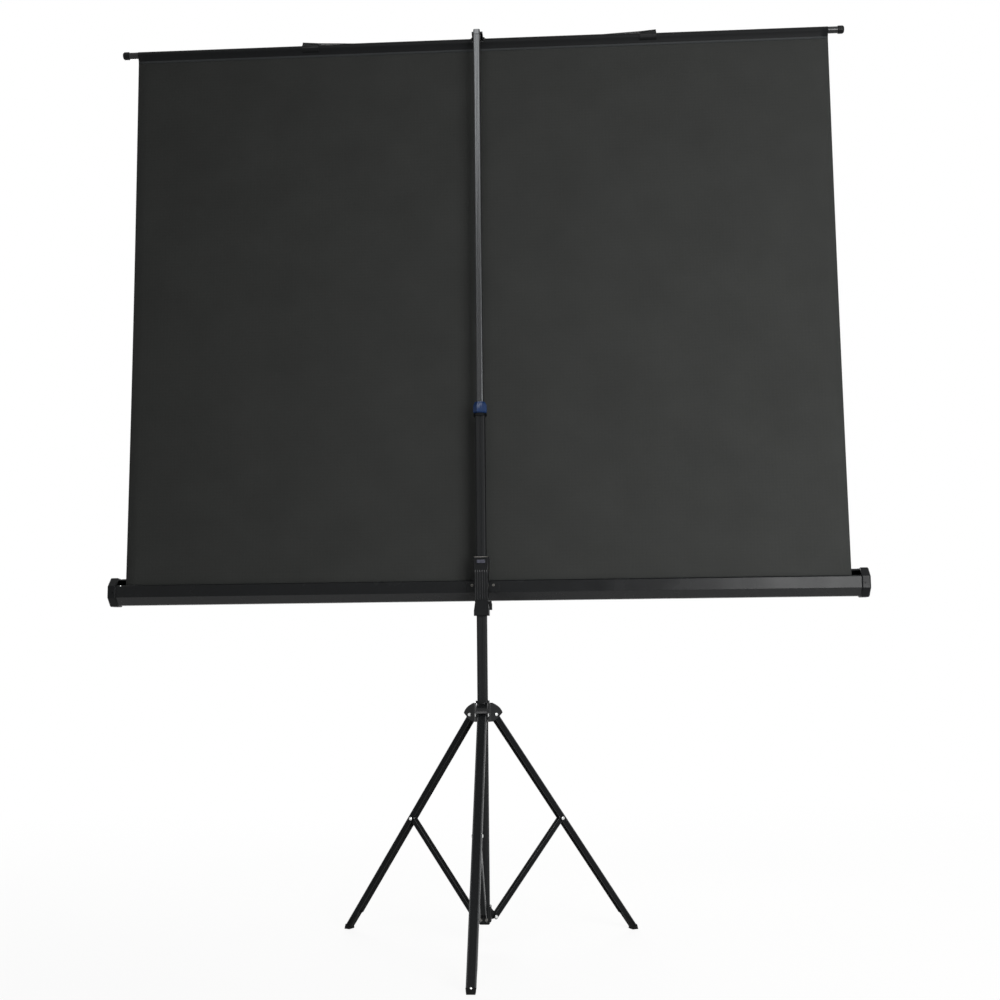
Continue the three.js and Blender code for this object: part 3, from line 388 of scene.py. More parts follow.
def radius_of(tube):
    """Radius of a level tube, from its CAD node's box."""
    low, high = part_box(tube)
    return (high.z - low.z) / 2


def outward(place):
    """Level direction from the mast's axis to a place."""
    return ((place - middle("mast_tube")) * Vector((1, 1, 0))).normalized()


def linked(name, bm, materials):
    """Makes an object of the scene from a bmesh, at the origin."""
    mesh = bpy.data.meshes.new(name)
    bm.to_mesh(mesh)
    bm.free()
    for material in materials:
        mesh.materials.append(material)
    made = bpy.data.objects.new(name, mesh)
    bpy.context.scene.collection.objects.link(made)
    return made


def piece(name, bm, finishes, body=None, nodes=(), smooth=35, flats=True):
    """Makes a finished piece from a bmesh: smooth shaded, and riding on its body."""
    made = linked(name, bm, [finish(each) for each in finishes])
    made.data.polygons.foreach_set("use_smooth", [True] * len(made.data.polygons))
    made.data.set_sharp_from_angle(angle=math.radians(smooth))
    if flats:
        # Large faces stay flat to the light; only the small radii between them turn it.
        made.modifiers.new("flats", "WEIGHTED_NORMAL").keep_sharp = True
    if body:
        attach(made, body)
    if nodes:
        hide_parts(*nodes)
    return made


def thicken(cloth, thickness):
    """Gives a sheet of cloth its thickness, half to each side."""
    wall = cloth.modifiers.new("wall", "SOLIDIFY")
    wall.thickness = thickness
    wall.offset = 0
    return wall


def node_copy(node):
    """A CAD node's shape as a bmesh, with its corners joined and its flat faces whole."""
    bm = bmesh.new()
    bm.from_mesh(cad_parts[node].data)
    bmesh.ops.remove_doubles(bm, verts=bm.verts, dist=0.005 * MM)
    bmesh.ops.dissolve_limit(
        bm, angle_limit=math.radians(1), verts=bm.verts, edges=bm.edges,
        use_dissolve_boundaries=False,
    )
    for face in bm.faces:
        face.material_index = 0
    return bm


def only(kind, geometry):
    """The elements of one kind among the geometry that an operator returns."""
    return [g for g in geometry if isinstance(g, kind)]


def edges_of(verts):
    """The edges at the given vertices, each once and in order."""
    return list(dict.fromkeys(e for v in verts for e in v.link_edges))


def divide(bm, place, normal, **options):
    """Cuts a bmesh along a plane, and returns the edges of the cut."""
    geometry = bm.verts[:] + bm.edges[:] + bm.faces[:]
    cut = bmesh.ops.bisect_plane(bm, geom=geometry, plane_co=place, plane_no=normal, **options)
    return only(BMEdge, cut["geom_cut"])


def cut_away(bm, place, normal, material=0):
    """Cuts off what lies beyond a plane and closes the cut."""
    rim = divide(bm, place, normal, clear_outer=True)
    for face in bmesh.ops.edgeloop_fill(bm, edges=rim)["faces"]:
        face.material_index = material


def turn_out(bm):
    """Turns all faces outwards."""
    bmesh.ops.recalc_face_normals(bm, faces=bm.faces)


def draw_out(bm, way):
    """Draws a line of edges out into a strip."""
    made = bmesh.ops.extrude_edge_only(bm, edges=list(bm.edges))["geom"]
    bmesh.ops.translate(bm, vec=way, verts=only(BMVert, made))


def map_cloth(bm, height):
    """Lays the cloth's own map: metres across, and the height that a function gives a vertex."""
    uv = bm.loops.layers.uv.new("cloth")
    for face in bm.faces:
        for corner in face.loops:
            corner[uv].uv = (corner.vert.co.x, height(corner.vert))


def rounded(bm, edges, radius, segments=2):
    """Rounds the given edges of a bmesh."""
    bmesh.ops.bevel(
        bm, geom=edges, offset=radius, offset_type="OFFSET", segments=segments, profile=0.5,
        affect="EDGES", clamp_overlap=True, material=-1,
    )


def sharp_edges(bm, degrees=32):
    """Edges where two faces meet at more than an angle."""
    limit = math.radians(degrees)
    return [e for e in bm.edges if e.is_manifold and e.calc_face_angle() > limit]


def ease(bm, radius, segments=2, degrees=32):
    """Rounds edges sharper than an angle, to a radius in millimetres."""
    rounded(bm, sharp_edges(bm, degrees), radius * MM, segments)


def softened(node, radius, finish_name, body, segments=2):
    """A CAD node with the small edge radii of the real piece, in millimetres."""
    bm = node_copy(node)
    ease(bm, radius, segments)
    piece(node + "_finished", bm, [finish_name], body, [node])


def same_plane(face, other):
    """Whether two faces lie in one plane and point the same way."""
    away = face.calc_center_median() - other.calc_center_median()
    return face.normal.dot(other.normal) > 0.9999 and abs(other.normal.dot(away)) < 0.05 * MM


def folded(node, bend, body, edge_highlights=True):
    """A folded channel: full radii along its two bends, with a painted highlight on them, and painted
    fill light in its hollow.
    """
    bm = node_copy(node)
    long_edge, wall = 100 * MM, 2.2 * MM
    # Material slots of the painted highlight and of the painted fill light
    painted_highlight, dusty = 1, 2
    long_edges = [e for e in sharp_edges(bm) if e.calc_length() > long_edge]
    bends = [e for e in long_edges if e.is_convex
             and min(f.calc_area() for f in e.link_faces) > e.calc_length() * wall]
    hollow = [f for e in long_edges if not e.is_convex for f in e.link_faces]
    # Narrow flange edges take the paler coat as a painted highlight where asked; faces in the hollow
    # take a paler coat as painted fill light.
    for face in bm.faces:
        length = max(e.calc_length() for e in face.edges)
        thin = length > long_edge and face.calc_area() < length * wall
        inside = any(same_plane(face, other) for other in hollow)
        face.material_index = dusty if inside else painted_highlight if thin and edge_highlights else 0
    # The arc faces of each bend take the paler coat: a painted highlight.
    planes = []
    for edge in bends:
        web, flange = (f.normal.copy() for f in edge.link_faces)
        centre = edge.verts[0].co - (web + flange) * bend
        for share in (0.25, 0.5, 0.75):
            normal = web.slerp(flange, share)
            planes.append((centre + normal * bend, normal))
    # The bevel tool stops short at the small edges near the ends, so planes cut the arc.
    for place, normal in planes:
        cut_away(bm, place, normal, material=painted_highlight)
    turn_out(bm)
    ease(bm, 0.3, degrees=SQUARE)
    piece(
        node + "_finished", bm, ["dull_coated_steel", "burnished_coat", "dusty_coat"], body, [node]
    )


def set_in(bm, place, direction):
    """Carries a shape made upright at the origin to a place, along a direction."""
    turn_out(bm)
    turn = Vector(direction).to_track_quat("Z", "Y").to_matrix().to_4x4()
    bmesh.ops.transform(bm, matrix=Matrix.Translation(place) @ turn, verts=bm.verts)


def rivet(name, place, direction, radius, height, body):
    """A domed rivet head, spun from its quarter profile."""
    steps = 5
    angles = [i * math.pi / 2 / steps for i in range(steps)]
    arc = [(math.cos(a) * radius, math.sin(a) * height) for a in angles]
    bm = bmesh.new()
    points = [bm.verts.new((r, 0, h)) for r, h in [(0, 0), *arc, (0, height)]]
    chain = [bm.edges.new(pair) for pair in zip(points, points[1:])]
    bmesh.ops.spin(
        bm, geom=points + chain, cent=(0, 0, 0), axis=UP, angle=2 * math.pi, steps=24,
        use_merge=True,
    )
    bmesh.ops.remove_doubles(bm, verts=bm.verts, dist=0.002 * MM)
    set_in(bm, place, direction)
    piece(name, bm, ["zinc_plated_steel"], body)


def cross_screw(bm, place, radius, height):
    """Adds one pan-head screw with a cross recess, turned to the front."""
    rim_share, flare, shoulder, skirt, recess, sides = 0.8, 1.25, 0.55, 0.45, 0.6, 24
    arm, half = radius * 0.62, radius * 0.14
    part = bmesh.new()
    cross = []
    for k in range(4):
        for x, y in ((arm, -half), (arm, half), (half, half)):
            cross.append(Matrix.Rotation(k * math.pi / 2, 3, "Z") @ Vector((x, y, height)))
    slot = part.faces.new([part.verts.new(c) for c in cross])
    rim = bmesh.ops.create_circle(part, segments=sides, radius=radius * rim_share)["verts"]
    bmesh.ops.translate(part, vec=UP * height, verts=rim)
    ring = edges_of(rim)
    bmesh.ops.bridge_loops(part, edges=ring + list(slot.edges))
    made = bmesh.ops.extrude_edge_only(part, edges=ring)["geom"]
    low = only(BMVert, made)
    bmesh.ops.scale(part, vec=(flare, flare, 1), verts=low)
    bmesh.ops.translate(part, vec=UP * -height * shoulder, verts=low)
    outer = [e for e in only(BMEdge, made) if all(v in low for v in e.verts)]
    wall = bmesh.ops.extrude_edge_only(part, edges=outer)["geom"]
    bmesh.ops.translate(part, vec=UP * -height * skirt, verts=only(BMVert, wall))
    bmesh.ops.holes_fill(part, edges=part.edges, sides=sides)
    sunk = bmesh.ops.extrude_discrete_faces(part, faces=[slot])["faces"]
    bmesh.ops.translate(part, vec=UP * -height * recess, verts=sunk[0].verts)
    set_in(part, place, (0, -1, 0))
    mesh = bpy.data.meshes.new("screw")
    part.to_mesh(mesh)
    part.free()
    bm.from_mesh(mesh)
    bpy.data.meshes.remove(mesh)


def screws(name, places, radius, height, finish_name):
    """Screws of one size in the front of the case."""
    bm = bmesh.new()
    for place in places:
        cross_screw(bm, place, radius, height)
    piece(name, bm, [finish_name], "case")


# Operators

class SCREEN_OT_stage(bpy.types.Operator):
    """Set the pale floor, the softboxes, the white surround and the camera"""

    bl_idname = "screen.stage"
    bl_label = "Stage"

    # Name, setting of its power, place, aim, width and height, spread of its grid in degrees
    SOFTBOXES = (
        ("softbox_key", "key", (2.5, -4.24, 1.5), (2.04, 0.18, 0.2), (2.4, 2.6), 106),
        ("softbox_high", "overhead", (0.5, -4.6, 5.3), (1.8, 0.18, 2.27), (4.2, 2.4), 69),
        ("softbox_viewing", "viewing", (-0.8, 5.2, 3.2), (0, 0.18, 1.7), (4, 3), 180),
    )

    def execute(self, context):
        stage = context.scene.screen_stage
        context.scene.view_settings.view_transform = "Standard"
        self.floor(context.scene.screen_colours.floor)
        self.surround(context.scene, stage.ambient)
        for name, setting, place, aim, sides, spread in self.SOFTBOXES:
            self.softbox(name, getattr(stage, setting), place, aim, sides, spread)
        self.camera(context.scene, stage)
        return {"FINISHED"}

    def floor(self, tone):
        """A floor that is white to the camera and still takes the object's shadow."""
        material, tree, shader = start("studio_floor", 0.9, specular=0.1)
        surface(
            tree, shader, tone, spread=0.01, patch=400, grain=30, bump=0.01, roughness=(0.85, 0.95)
        )
        place = add(tree, "ShaderNodeTexCoord").outputs["Object"]
        away = add(tree, "ShaderNodeVectorMath", {0: place}, operation="LENGTH")
        # The shadow shows under the stand and is gone a few metres off.
        fade = add(
            tree, "ShaderNodeMapRange",
            {"Value": away.outputs["Value"], "From Min": 0.8, "From Max": 4,
             "To Min": 0.9, "To Max": 1},
        )
        share = add(
            tree, "ShaderNodeMath",
            {0: seen_directly(tree), 1: fade.outputs["Result"]}, operation="MULTIPLY",
        )
        white = add(tree, "ShaderNodeEmission", {"Color": (1, 1, 1, 1), "Strength": 1})
        mix = add(
            tree, "ShaderNodeMixShader",
            {0: share.outputs["Value"], 1: shader.outputs["BSDF"], 2: white.outputs["Emission"]},
        )
        tree.links.new(mix.outputs["Shader"], tree.nodes["Material Output"].inputs["Surface"])
        half_width, below = 30, -0.2 * MM
        bm = bmesh.new()
        bmesh.ops.create_grid(bm, x_segments=2, y_segments=2, size=half_width)
        bmesh.ops.translate(bm, vec=(0, 0, below), verts=bm.verts)
        ground = linked("studio_floor", bm, [material])

    def surround(self, scene, ambient):
        """White to the eye and in reflections, dimmer as a light."""
        world = bpy.data.worlds.new("studio_surround")
        world.use_nodes = True
        tree = world.node_tree
        strength = add(
            tree, "ShaderNodeMapRange",
            {"Value": seen_directly(tree), "To Min": ambient, "To Max": 1},
        )
        tree.nodes["Background"].inputs["Color"].default_value = (1, 1, 1, 1)
        tree.links.new(strength.outputs["Result"], tree.nodes["Background"].inputs["Strength"])
        scene.world = world

    def softbox(self, name, watts, place, aim, sides, spread):
        """A large soft lamp turned to a point; a grid keeps its light within a spread."""
        lamp = bpy.data.lights.new(name, "AREA")
        lamp.shape = "RECTANGLE"
        lamp.size, lamp.size_y = sides
        lamp.energy = watts
        lamp.spread = math.radians(spread)
        made = bpy.data.objects.new(name, lamp)
        turn = (Vector(aim) - Vector(place)).to_track_quat("-Z", "Y").to_matrix().to_4x4()
        made.matrix_world = Matrix.Translation(place) @ turn
        bpy.context.scene.collection.objects.link(made)

    def camera(self, scene, stage):
        """The photograph's view: right, up and back axes from turn, tilt and roll."""
        lens = bpy.data.cameras.new("photo_camera")
        lens.sensor_fit = "HORIZONTAL"
        lens.lens = stage.lens
        level = Vector((-math.sin(stage.turn), math.cos(stage.turn), 0))
        across = Vector((math.cos(stage.turn), math.sin(stage.turn), 0))
        ahead = math.cos(stage.tilt) * level + math.sin(stage.tilt) * UP
        upward = across.cross(ahead)
        right = math.cos(stage.roll) * across + math.sin(stage.roll) * upward
        up = math.cos(stage.roll) * upward - math.sin(stage.roll) * across
        view = Matrix((right, up, -ahead)).transposed().to_4x4()
        made = bpy.data.objects.new("photo_camera", lens)
        made.matrix_world = Matrix.Translation(stage.camera) @ view
        scene.collection.objects.link(made)
        scene.camera = made


class SCREEN_OT_cloth(bpy.types.Operator):
    """Hang the screen cloth with its batten pocket, and wind the rest on the roller"""

    bl_idname = "screen.cloth"
    bl_label = "Cloth"

    COATS = ("black_vinyl_backing", "black_border_print", "matt_white_vinyl", "pressed_vinyl_weld")
    BORDER, IMAGE, WELD = 1, 2, 3
    # Share of its width that the cloth draws in half way up, where nothing holds its edges
    DRAWN_IN = 0.0012
    # How far the cloth stands off a tube that it wraps
    STAND_OFF = 0.4 * MM

    def execute(self, context):
        self.sheet(context.scene.screen_sizes)
        self.roll(context.scene.screen_sizes)
        return {"FINISHED"}

    def sheet(self, sizes):
        """One sheet from the roller up, round the batten and down the back to the weld."""
        low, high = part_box("screen_fabric")
        batten = middle("batten_tube")
        loop = radius_of("batten_tube") + self.STAND_OFF
        # The neck's drop in radii of the pocket, and the flap's offset in thicknesses of the cloth
        neck_drop, flap_offset = 1.7, 1.4
        neck = batten.z - neck_drop * loop
        weld = neck - sizes.pocket_weld
        back = batten.y - flap_offset * sizes.cloth
        rows, wraps, columns = 64, 26, 72
        # The pocket leaves the tube where its straight sides, which meet at the neck, touch it.
        lean = math.acos(loop / (batten.z - neck))
        first = math.pi * 1.5 + lean
        turn = 2 * (math.pi - lean) / wraps
        line = [(batten.y, low.z + (neck - low.z) * i / rows) for i in range(rows + 1)]
        for i in range(wraps + 1):
            around = first + turn * i
            line.append((batten.y + loop * math.cos(around), batten.z + loop * math.sin(around)))
        line += [(back, neck - 2 * MM), (back, weld)]
        bm = bmesh.new()
        along = bm.verts.layers.float.new("along")
        points = [bm.verts.new((low.x, y, z)) for y, z in line]
        flat = 0.0
        for lower, upper in zip(points, points[1:]):
            flat += bm.edges.new((lower, upper)).calc_length()
            upper[along] = flat
        draw_out(bm, (high.x - low.x, 0, 0))
        across = [e for e in bm.edges if abs(e.verts[0].co.x - e.verts[1].co.x) > MM]
        bmesh.ops.subdivide_edges(bm, edges=across, cuts=columns - 1)
        half = sizes.image_width / 2
        image_top = weld - sizes.top_border
        for x in (half, -half):
            divide(bm, (x, 0, 0), (1, 0, 0))
        for z in (image_top, image_top - sizes.image_height):
            divide(bm, (0, 0, z), UP)
        self.relax(bm, sizes, low, high, neck)
        map_cloth(bm, lambda vert: vert[along])
        turn_out(bm)
        main = next(f for f in bm.faces if f.calc_center_median().z < low.z + 100 * MM)
        if main.normal.y < 0:
            bmesh.ops.reverse_faces(bm, faces=bm.faces)
        self.paint(bm, batten.y, neck, half, image_top, sizes)
        cloth = piece(
            "screen_cloth", bm, self.COATS, nodes=["screen_fabric"], smooth=60, flats=False
        )
        wall = thicken(cloth, sizes.cloth)
        # The camera's side takes the black backing whatever the viewing side carries.
        wall.material_offset = -self.IMAGE
        wall.material_offset_rim = -self.IMAGE
        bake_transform(cloth)

    def relax(self, bm, sizes, low, high, neck):
        """Free edges curl and draw in a little; the pull from the batten leaves faint waves."""
        half = (high.x - low.x) / 2
        # The share of the half width that curls; two waves, in radians per metre, and their mix
        margin, long_wave, short_wave, lower, shift, evened = 0.07, 17, 29, 0.6, 1.3, 0.6
        for vert in bm.verts:
            if vert.co.z > neck:
                continue
            share = (vert.co.z - low.z) / (neck - low.z)
            slack = math.sin(math.pi * min(max(share, 0), 1))
            edge = max(0, abs(vert.co.x) / half - (1 - margin)) / margin
            wave = math.sin(vert.co.x * long_wave)
            wave += lower * math.sin(vert.co.x * short_wave + shift)
            vert.co.y += slack * (sizes.side_curl * edge * edge + sizes.ripple * wave * evened)
            vert.co.x *= 1 - self.DRAWN_IN * slack

    def paint(self, bm, plane, neck, half, image_top, sizes):
        """The viewing side carries the white image inside its border; the flap is pressed flat."""
        for face in bm.faces:
            centre = face.calc_center_median()
            flap = centre.y < plane and centre.z < neck and face.normal.y < 0
            tall = image_top - sizes.image_height < centre.z < image_top
            inside = abs(centre.x) < half * (1 - self.DRAWN_IN) and tall
            face.material_index = self.WELD if flap else self.IMAGE if inside else self.BORDER

    def roll(self, sizes):
        """The turns left on the roller, one spiral of cloth."""
        low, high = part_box("fabric_roll")
        centre = middle("roller_tube")
        inner = radius_of("roller_tube") + self.STAND_OFF
        outer = middle("fabric_roll").y - low.y
        turns = 5
        steps = turns * 40
        axis = Vector((low.x, centre.y, centre.z))
        bm = bmesh.new()
        begin = bm.verts.new((low.x, centre.y - inner, centre.z))
        bmesh.ops.spin(
            bm, geom=[begin], cent=axis, axis=(1, 0, 0), angle=2 * math.pi * turns, steps=steps
        )
        grow = (outer - sizes.cloth - inner) / steps
        for index, vert in enumerate(bm.verts):
            vert.co = axis + (vert.co - axis) * (1 + grow * index / inner)
        draw_out(bm, (high.x - low.x, 0, 0))
        map_cloth(bm, lambda vert: vert.co.z)
        wound = piece(
            "cloth_on_roller", bm, ["black_vinyl_backing"], "roller", ["fabric_roll"], smooth=60,
            flats=False,
        )
        thicken(wound, sizes.cloth)


class SCREEN_OT_batten(bpy.types.Operator):
    """Dress the batten, its caps, the strap and the hanger"""

    bl_idname = "screen.batten"
    bl_label = "Batten"

    def execute(self, context):
        softened("batten_tube", 0.3, "lacquered_steel", "batten")
        softened("hanger_plate", 0.3, "anodised_aluminium", "batten")
        for side, _ in SIDES:
            softened(f"batten_cap_{side}", 1.0, "moulded_abs", "batten", 3)
            self.clip(side)
        self.strap(context.scene.screen_sizes)
        return {"FINISHED"}

    def clip(self, side):
        """A strap clip whose ramp ends lower, as the strap lies on the pocket."""
        node = f"strap_clip_{side}"
        level, kept = middle("batten_tube").z + 12 * MM, 0.7
        bm = node_copy(node)
        for vert in bm.verts:
            if vert.co.z > level:
                vert.co.z = level + (vert.co.z - level) * kept
        ease(bm, 0.4)
        piece(node + "_finished", bm, ["moulded_abs"], "batten", [node])

    def strap(self, sizes):
        """Webbing that lies on the pocket, humps over the hanger and rises at the clips."""
        low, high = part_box("carry_strap")
        batten = middle("batten_tube")
        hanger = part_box("hanger_plate")[1]
        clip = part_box("strap_clip_right")[0].x
        pocket = batten.z + 11.2 * MM
        hump_top, hump_foot = 18 * MM, 23 * MM
        # Half of the strap, from its end in the right clip to the edge of the hanger
        line = (
            (high.x - 1 * MM, high.z - sizes.strap - 1.6 * MM), (clip, low.z),
            (clip - 60 * MM, pocket + 0.8 * MM), (clip - 110 * MM, pocket), (hump_foot, pocket),
            (hump_top, hanger.z), (hanger.x, hanger.z + 0.3 * MM),
        )
        mirrored = [(-x, z) for x, z in line] + list(reversed(line))
        bm = bmesh.new()
        points = [bm.verts.new((x, low.y, z)) for x, z in mirrored]
        for pair in zip(points, points[1:]):
            bm.edges.new(pair)
        draw_out(bm, (0, high.y - low.y, 0))
        wide = [e for e in bm.edges if abs(e.verts[0].co.y - e.verts[1].co.y) > MM]
        bmesh.ops.subdivide_edges(bm, edges=wide, cuts=5)
        # Where it lies on the pocket the strap bows across its width, as round as the pocket.
        bow, settled, settling = 12 * MM, clip - 40 * MM, 60 * MM
        for vert in bm.verts:
            away = abs(vert.co.x)
            rest = min(1, max(0, (settled - away) / settling))
            rest *= min(1, max(0, (away - hump_top) / (hump_foot - hump_top)))
            aside = vert.co.y - batten.y
            vert.co.z -= rest * (bow - math.sqrt(bow * bow - aside * aside))
        turn_out(bm)
        if sum(f.normal.z for f in bm.faces) > 0:
            bmesh.ops.reverse_faces(bm, faces=bm.faces)
        bmesh.ops.solidify(bm, geom=bm.faces[:], thickness=sizes.strap)
        piece("carrying_strap", bm, ["polypropylene_webbing"], "batten", ["carry_strap"])


class SCREEN_OT_mast(bpy.types.Operator):
    """Dress the two tubes of the mast, the lock collar and the head"""

    bl_idname = "screen.mast"
    bl_label = "Mast"

    def execute(self, context):
        softened("mast_tube", 0.3, "matt_coated_steel", "mast")
        softened("mast_foot_plug", 0.5, "moulded_abs", "mast")
        softened("guide_bush", 0.2, "moulded_abs", "mast")
        softened("collar_rim", 0.3, "moulded_abs", "mast")
        self.collar()
        softened("extension_tube", 0.2, "anodised_aluminium", "extension")
        softened("extension_shoe", 0.4, "moulded_abs", "extension")
        softened("mast_head", 0.5, "anodised_aluminium", "extension")
        return {"FINISHED"}

    def collar(self):
        """The lock collar: eight flats under a shoulder that slopes in to the tube."""
        axis = middle("lock_collar")
        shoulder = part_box("lock_collar")[1].z - 10 * MM
        bore, kept = 15.2 * MM, 0.3
        bm = node_copy("lock_collar")
        divide(bm, (0, 0, shoulder), UP)
        for vert in bm.verts:
            out = (vert.co - axis).xy
            if vert.co.z > shoulder + MM and out.length > bore:
                vert.co.xy = axis.xy + out.normalized() * (bore + (out.length - bore) * kept)
        ease(bm, 1.2, 3, degrees=20)
        piece("lock_collar_finished", bm, ["blue_abs"], "lock_collar", ["lock_collar"])


class SCREEN_OT_carriage(bpy.types.Operator):
    """Dress the carriage with its button, lever and screws"""

    bl_idname = "screen.carriage"
    bl_label = "Carriage"

    def execute(self, context):
        self.body()
        # A bright strip along the top edge as a painted highlight
        self.lip()
        softened("release_button", 0.5, "grey_blue_abs", "release_button")
        softened("latch_lever", 0.5, "moulded_abs", "latch_lever")
        softened("pivot_plate", 0.4, "powder_coated_steel", "case")
        softened("pivot_bolt", 0.4, "zinc_plated_steel", "case")
        self.plate_screws(context.scene.screen_sizes.plate_screw)
        return {"FINISHED"}

    def body(self):
        """The moulded sleeve: painted highlight on its grip rib crests, paler painted glint on their
        upper ends.
        """
        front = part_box("carriage_body")[0].y
        # The upper 5 mm of each crest takes the paler painted glint.
        skin, worn = 0.3 * MM, 5 * MM
        rubbed, grey = 1, 2

        def is_crest(face):
            return face.normal.y < -0.9 and face.calc_center_median().y < front + skin

        bm = node_copy("carriage_body")
        ends = max(v.co.z for f in bm.faces if is_crest(f) for v in f.verts) - worn
        divide(bm, (0, 0, ends), UP)
        for face in bm.faces:
            # Crests take the painted highlight, their upper ends the painted glint; the rest keeps
            # the plain moulding.
            upper = face.calc_center_median().z > ends
            face.material_index = 0 if not is_crest(face) else grey if upper else rubbed
        ribs = {v for f in bm.faces if f.material_index for v in f.verts}
        rounded(bm, [e for e in sharp_edges(bm) if all(v in ribs for v in e.verts)], 0.7 * MM, 3)
        ease(bm, 0.3, degrees=SQUARE)
        piece(
            "carriage_body_finished", bm, ["moulded_abs", "rubbed_abs", "worn_abs"], "carriage",
            ["carriage_body"],
        )

    def lip(self):
        """A bright steel strip hooked over the sleeve's top edge, standing in as a painted highlight
        there.
        """
        low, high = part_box("carriage_body")
        front = low.y + 2 * MM
        wall, drop, back, reach = 0.6 * MM, 1.4 * MM, 5 * MM, 18.5 * MM
        hook = (
            (front - wall, high.z - drop), (front - wall, high.z), (front + back, high.z),
            (front + back, high.z - wall), (front, high.z - wall), (front, high.z - drop),
        )
        bm = bmesh.new()
        face = bm.faces.new([bm.verts.new((-reach, y, z)) for y, z in hook])
        made = bmesh.ops.extrude_face_region(bm, geom=[face])["geom"]
        bmesh.ops.translate(bm, vec=(2 * reach, 0, 0), verts=only(BMVert, made))
        turn_out(bm)
        ease(bm, 0.2)
        # Bright drawn steel stands in for the highlight on the sleeve's top edge.
        piece("carriage_lip", bm, ["drawn_steel"], "carriage")

    def plate_screws(self, radius):
        """The two screws that hold the pivot plate to the case."""
        aside, rise, height = 31 * MM, 5 * MM, 2.4 * MM
        front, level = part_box("pivot_plate")[0].y, middle("pivot_plate").z + rise
        places = [(sign * aside, front, level) for _, sign in SIDES]
        screws("plate_screws", places, radius, height, "drawn_steel")


class SCREEN_OT_case(bpy.types.Operator):
    """Dress the case, its end caps and the spring roller"""

    bl_idname = "screen.case"
    bl_label = "Case"

    def execute(self, context):
        self.shell()
        for side, _ in SIDES:
            softened(f"end_cap_{side}", 1.2, "moulded_abs", "case", 3)
            softened(f"roller_axle_{side}", 0.4, "drawn_steel", "case")
            softened(f"roller_plug_{side}", 0.4, "moulded_abs", "roller")
        self.cap_screws(context.scene.screen_sizes.cap_screw)
        softened("roller_tube", 0.2, "drawn_steel", "roller")
        self.spring()
        self.slot_rivet()
        return {"FINISHED"}

    def shell(self):
        """The folded shell, with a smoother coat underneath that mirrors the pale floor."""
        bm = node_copy("case_shell")
        for face in bm.faces:
            face.material_index = int(face.normal.z < -0.3)
        ease(bm, 0.35)
        piece(
            "case_shell_finished", bm, ["powder_coated_steel", "smooth_coated_steel"], "case",
            ["case_shell"],
        )

    def cap_screws(self, radius):
        """One painted screw in the front of each end cap."""
        inset, drop, height = 3 * MM, 2 * MM, 1.2 * MM
        level = middle("case_shell").z - drop
        places = []
        for side, sign in SIDES:
            cap, front = middle(f"end_cap_{side}").x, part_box(f"end_cap_{side}")[0].y
            places.append((cap - sign * inset, front, level))
        screws("cap_screws", places, radius, height, "powder_coated_steel")

    def spring(self):
        """The torsion spring, one wire wound from end to end."""
        low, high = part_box("roller_spring")
        axis = middle("roller_tube")
        wire, sides, turns = 1.7 * MM, 8, 14
        steps = turns * 24
        coil = (high.z - low.z) / 2 - wire
        run = high.x - low.x - 2 * wire
        bm = bmesh.new()
        made = bmesh.ops.create_circle(bm, segments=sides, radius=wire)["verts"]
        upright = Matrix.Rotation(math.pi / 2, 4, "X")
        place = Matrix.Translation((low.x + wire, axis.y + coil, axis.z)) @ upright
        bmesh.ops.transform(bm, matrix=place, verts=made)
        bmesh.ops.spin(
            bm, geom=made + edges_of(made), cent=(low.x, axis.y, axis.z), axis=(1, 0, 0),
            dvec=(run / steps, 0, 0), angle=2 * math.pi * turns, steps=steps,
        )
        bmesh.ops.holes_fill(bm, edges=bm.edges, sides=sides)
        turn_out(bm)
        piece("torsion_spring", bm, ["drawn_steel"], "roller", ["roller_spring"])

    def slot_rivet(self):
        """The bright rivet on the lower lip of the slot, beside the cloth's left edge."""
        low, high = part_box("case_shell")
        # The lip slopes up and back from a corner of the octagon.
        corner = (high.y - low.y) / 2 * math.tan(math.pi / 8)
        slope = 2.5 * MM / math.sqrt(2)
        beside, radius, height = 13 * MM, 2.4 * MM, 1.2 * MM
        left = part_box("screen_fabric")[0].x - beside
        place = (left, low.y + slope, middle("case_shell").z + corner + slope)
        rivet("slot_rivet", place, (0, -1, 1), radius, height, "case")


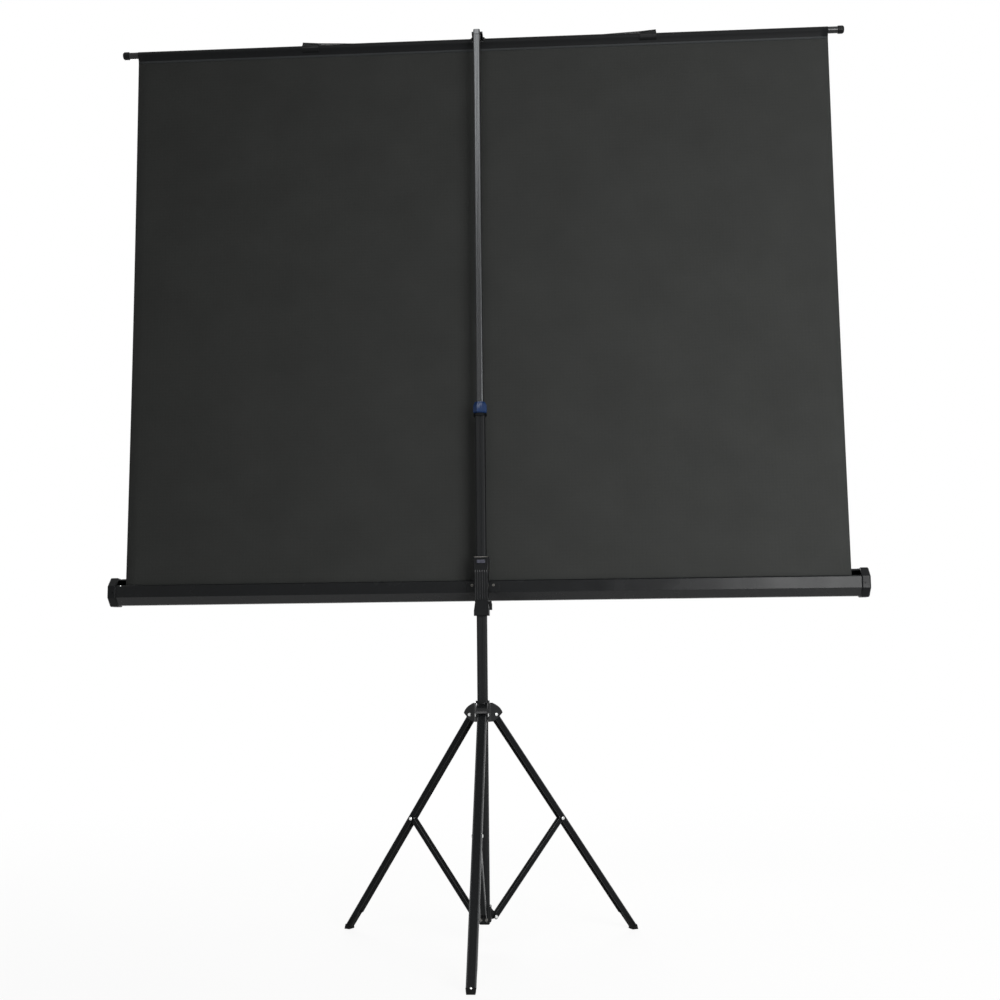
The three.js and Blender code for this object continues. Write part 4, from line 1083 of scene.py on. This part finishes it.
class SCREEN_OT_tripod(bpy.types.Operator):
    """Dress the hub, the legs with their feet, the braces and the rivets"""

    bl_idname = "screen.tripod"
    bl_label = "Tripod"

    def execute(self, context):
        sizes = context.scene.screen_sizes
        self.hub()
        softened("hub_ring", 0.8, "moulded_abs", "hub")
        softened("lower_bracket", 0.8, "moulded_abs", "mast")
        for side in LEGS:
            leg, brace = f"leg_{side}", f"brace_{side}"
            # The front leg's narrow flange edges also take the painted highlight.
            folded(leg, sizes.leg_bend, leg, edge_highlights=side == "front")
            folded(brace, sizes.brace_bend, brace)
            self.foot(side)
            self.foot_rivet(side, sizes.foot_rivet)
            softened(f"leg_pin_{side}", 0.7, "zinc_plated_steel", leg, 3)
            softened(f"brace_pin_{side}", 0.6, "zinc_plated_steel", leg, 3)
            plate = "drawn_steel" if side == "front" else "zinc_plated_steel"
            softened(f"brace_foot_pin_{side}", 0.5, plate, brace, 3)
        return {"FINISHED"}

    def hub(self):
        """The hub, its lobes cut back below and its upper edges rounded to catch the light."""
        beyond, below = 10.5 * MM, 5 * MM
        bm = node_copy("tripod_hub")
        for side in LEGS:
            pin = middle(f"leg_pin_{side}")
            out = outward(pin)
            cut_away(bm, pin + beyond * out - below * UP, out - UP)
        turn_out(bm)
        level = middle("tripod_hub").z
        upper = [e for e in sharp_edges(bm) if e.is_convex and min(v.co.z for v in e.verts) > level]
        rounded(bm, upper, 2.2 * MM, 3)
        ease(bm, 0.5, degrees=SQUARE)
        piece("tripod_hub_finished", bm, ["glossy_abs"], "hub", ["tripod_hub"])

    def foot(self, side):
        """A rubber foot that spreads little more than the end of its leg."""
        node = f"leg_foot_{side}"
        sole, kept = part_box(node)[0].z + 8 * MM, 0.82
        axis = middle(node).xy
        bm = node_copy(node)
        for vert in bm.verts:
            if vert.co.z < sole:
                vert.co.xy = axis + (vert.co.xy - axis) * kept
        ease(bm, 0.8)
        piece(node + "_finished", bm, ["moulded_rubber"], f"leg_{side}", [node])

    def foot_rivet(self, side, radius):
        """The rivet low on the outer face of a leg, through its foot."""
        height, flatness = 14 * MM, 0.5
        leg = node_copy(f"leg_{side}")
        out = outward(middle(f"leg_foot_{side}"))
        outer = [f for f in leg.faces if f.normal.dot(out) > 0.4]
        face = max(outer, key=lambda f: f.calc_area())
        normal = face.normal.copy()
        centre = face.calc_center_median()
        leg.free()
        # Down the face from its centre to the rivet's height
        fall = normal * normal.z - UP
        place = centre + fall * ((centre.z - height) / -fall.z)
        rivet(f"foot_rivet_{side}", place, normal, radius, radius * flatness, f"leg_{side}")


class SCREEN_PT_panel(bpy.types.Panel):
    """Buttons and settings of the screen"""

    bl_label = "Tripod screen"
    bl_idname = "SCREEN_PT_panel"
    bl_space_type = "VIEW_3D"
    bl_region_type = "UI"
    bl_category = "Screen"

    def draw(self, context):
        for group in GROUPS:
            settings = getattr(context.scene, group)
            column = self.layout.column(align=True)
            for key in settings.__annotations__:
                column.prop(settings, key)
        for operator in BUILDERS:
            self.layout.operator(operator.bl_idname)


GROUPS = {
    "screen_sizes": ScreenSizes,
    "screen_colours": ScreenColours,
    "screen_stage": ScreenStage,
}
BUILDERS = (
    SCREEN_OT_stage, SCREEN_OT_cloth, SCREEN_OT_batten, SCREEN_OT_mast, SCREEN_OT_carriage,
    SCREEN_OT_case, SCREEN_OT_tripod,
)
CLASSES = (*GROUPS.values(), *BUILDERS, SCREEN_PT_panel)


def register():
    for each in CLASSES:
        bpy.utils.register_class(each)
    for name, group in GROUPS.items():
        setattr(bpy.types.Scene, name, bpy.props.PointerProperty(type=group))


def unregister():
    for name in GROUPS:
        delattr(bpy.types.Scene, name)
    for each in reversed(CLASSES):
        bpy.utils.unregister_class(each)


def main():
    register()
    bpy.ops.screen.stage()
    bpy.ops.screen.cloth()
    bpy.ops.screen.batten()
    bpy.ops.screen.mast()
    bpy.ops.screen.carriage()
    bpy.ops.screen.case()
    bpy.ops.screen.tripod()
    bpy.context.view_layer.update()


if __name__ == "__main__":
    main()
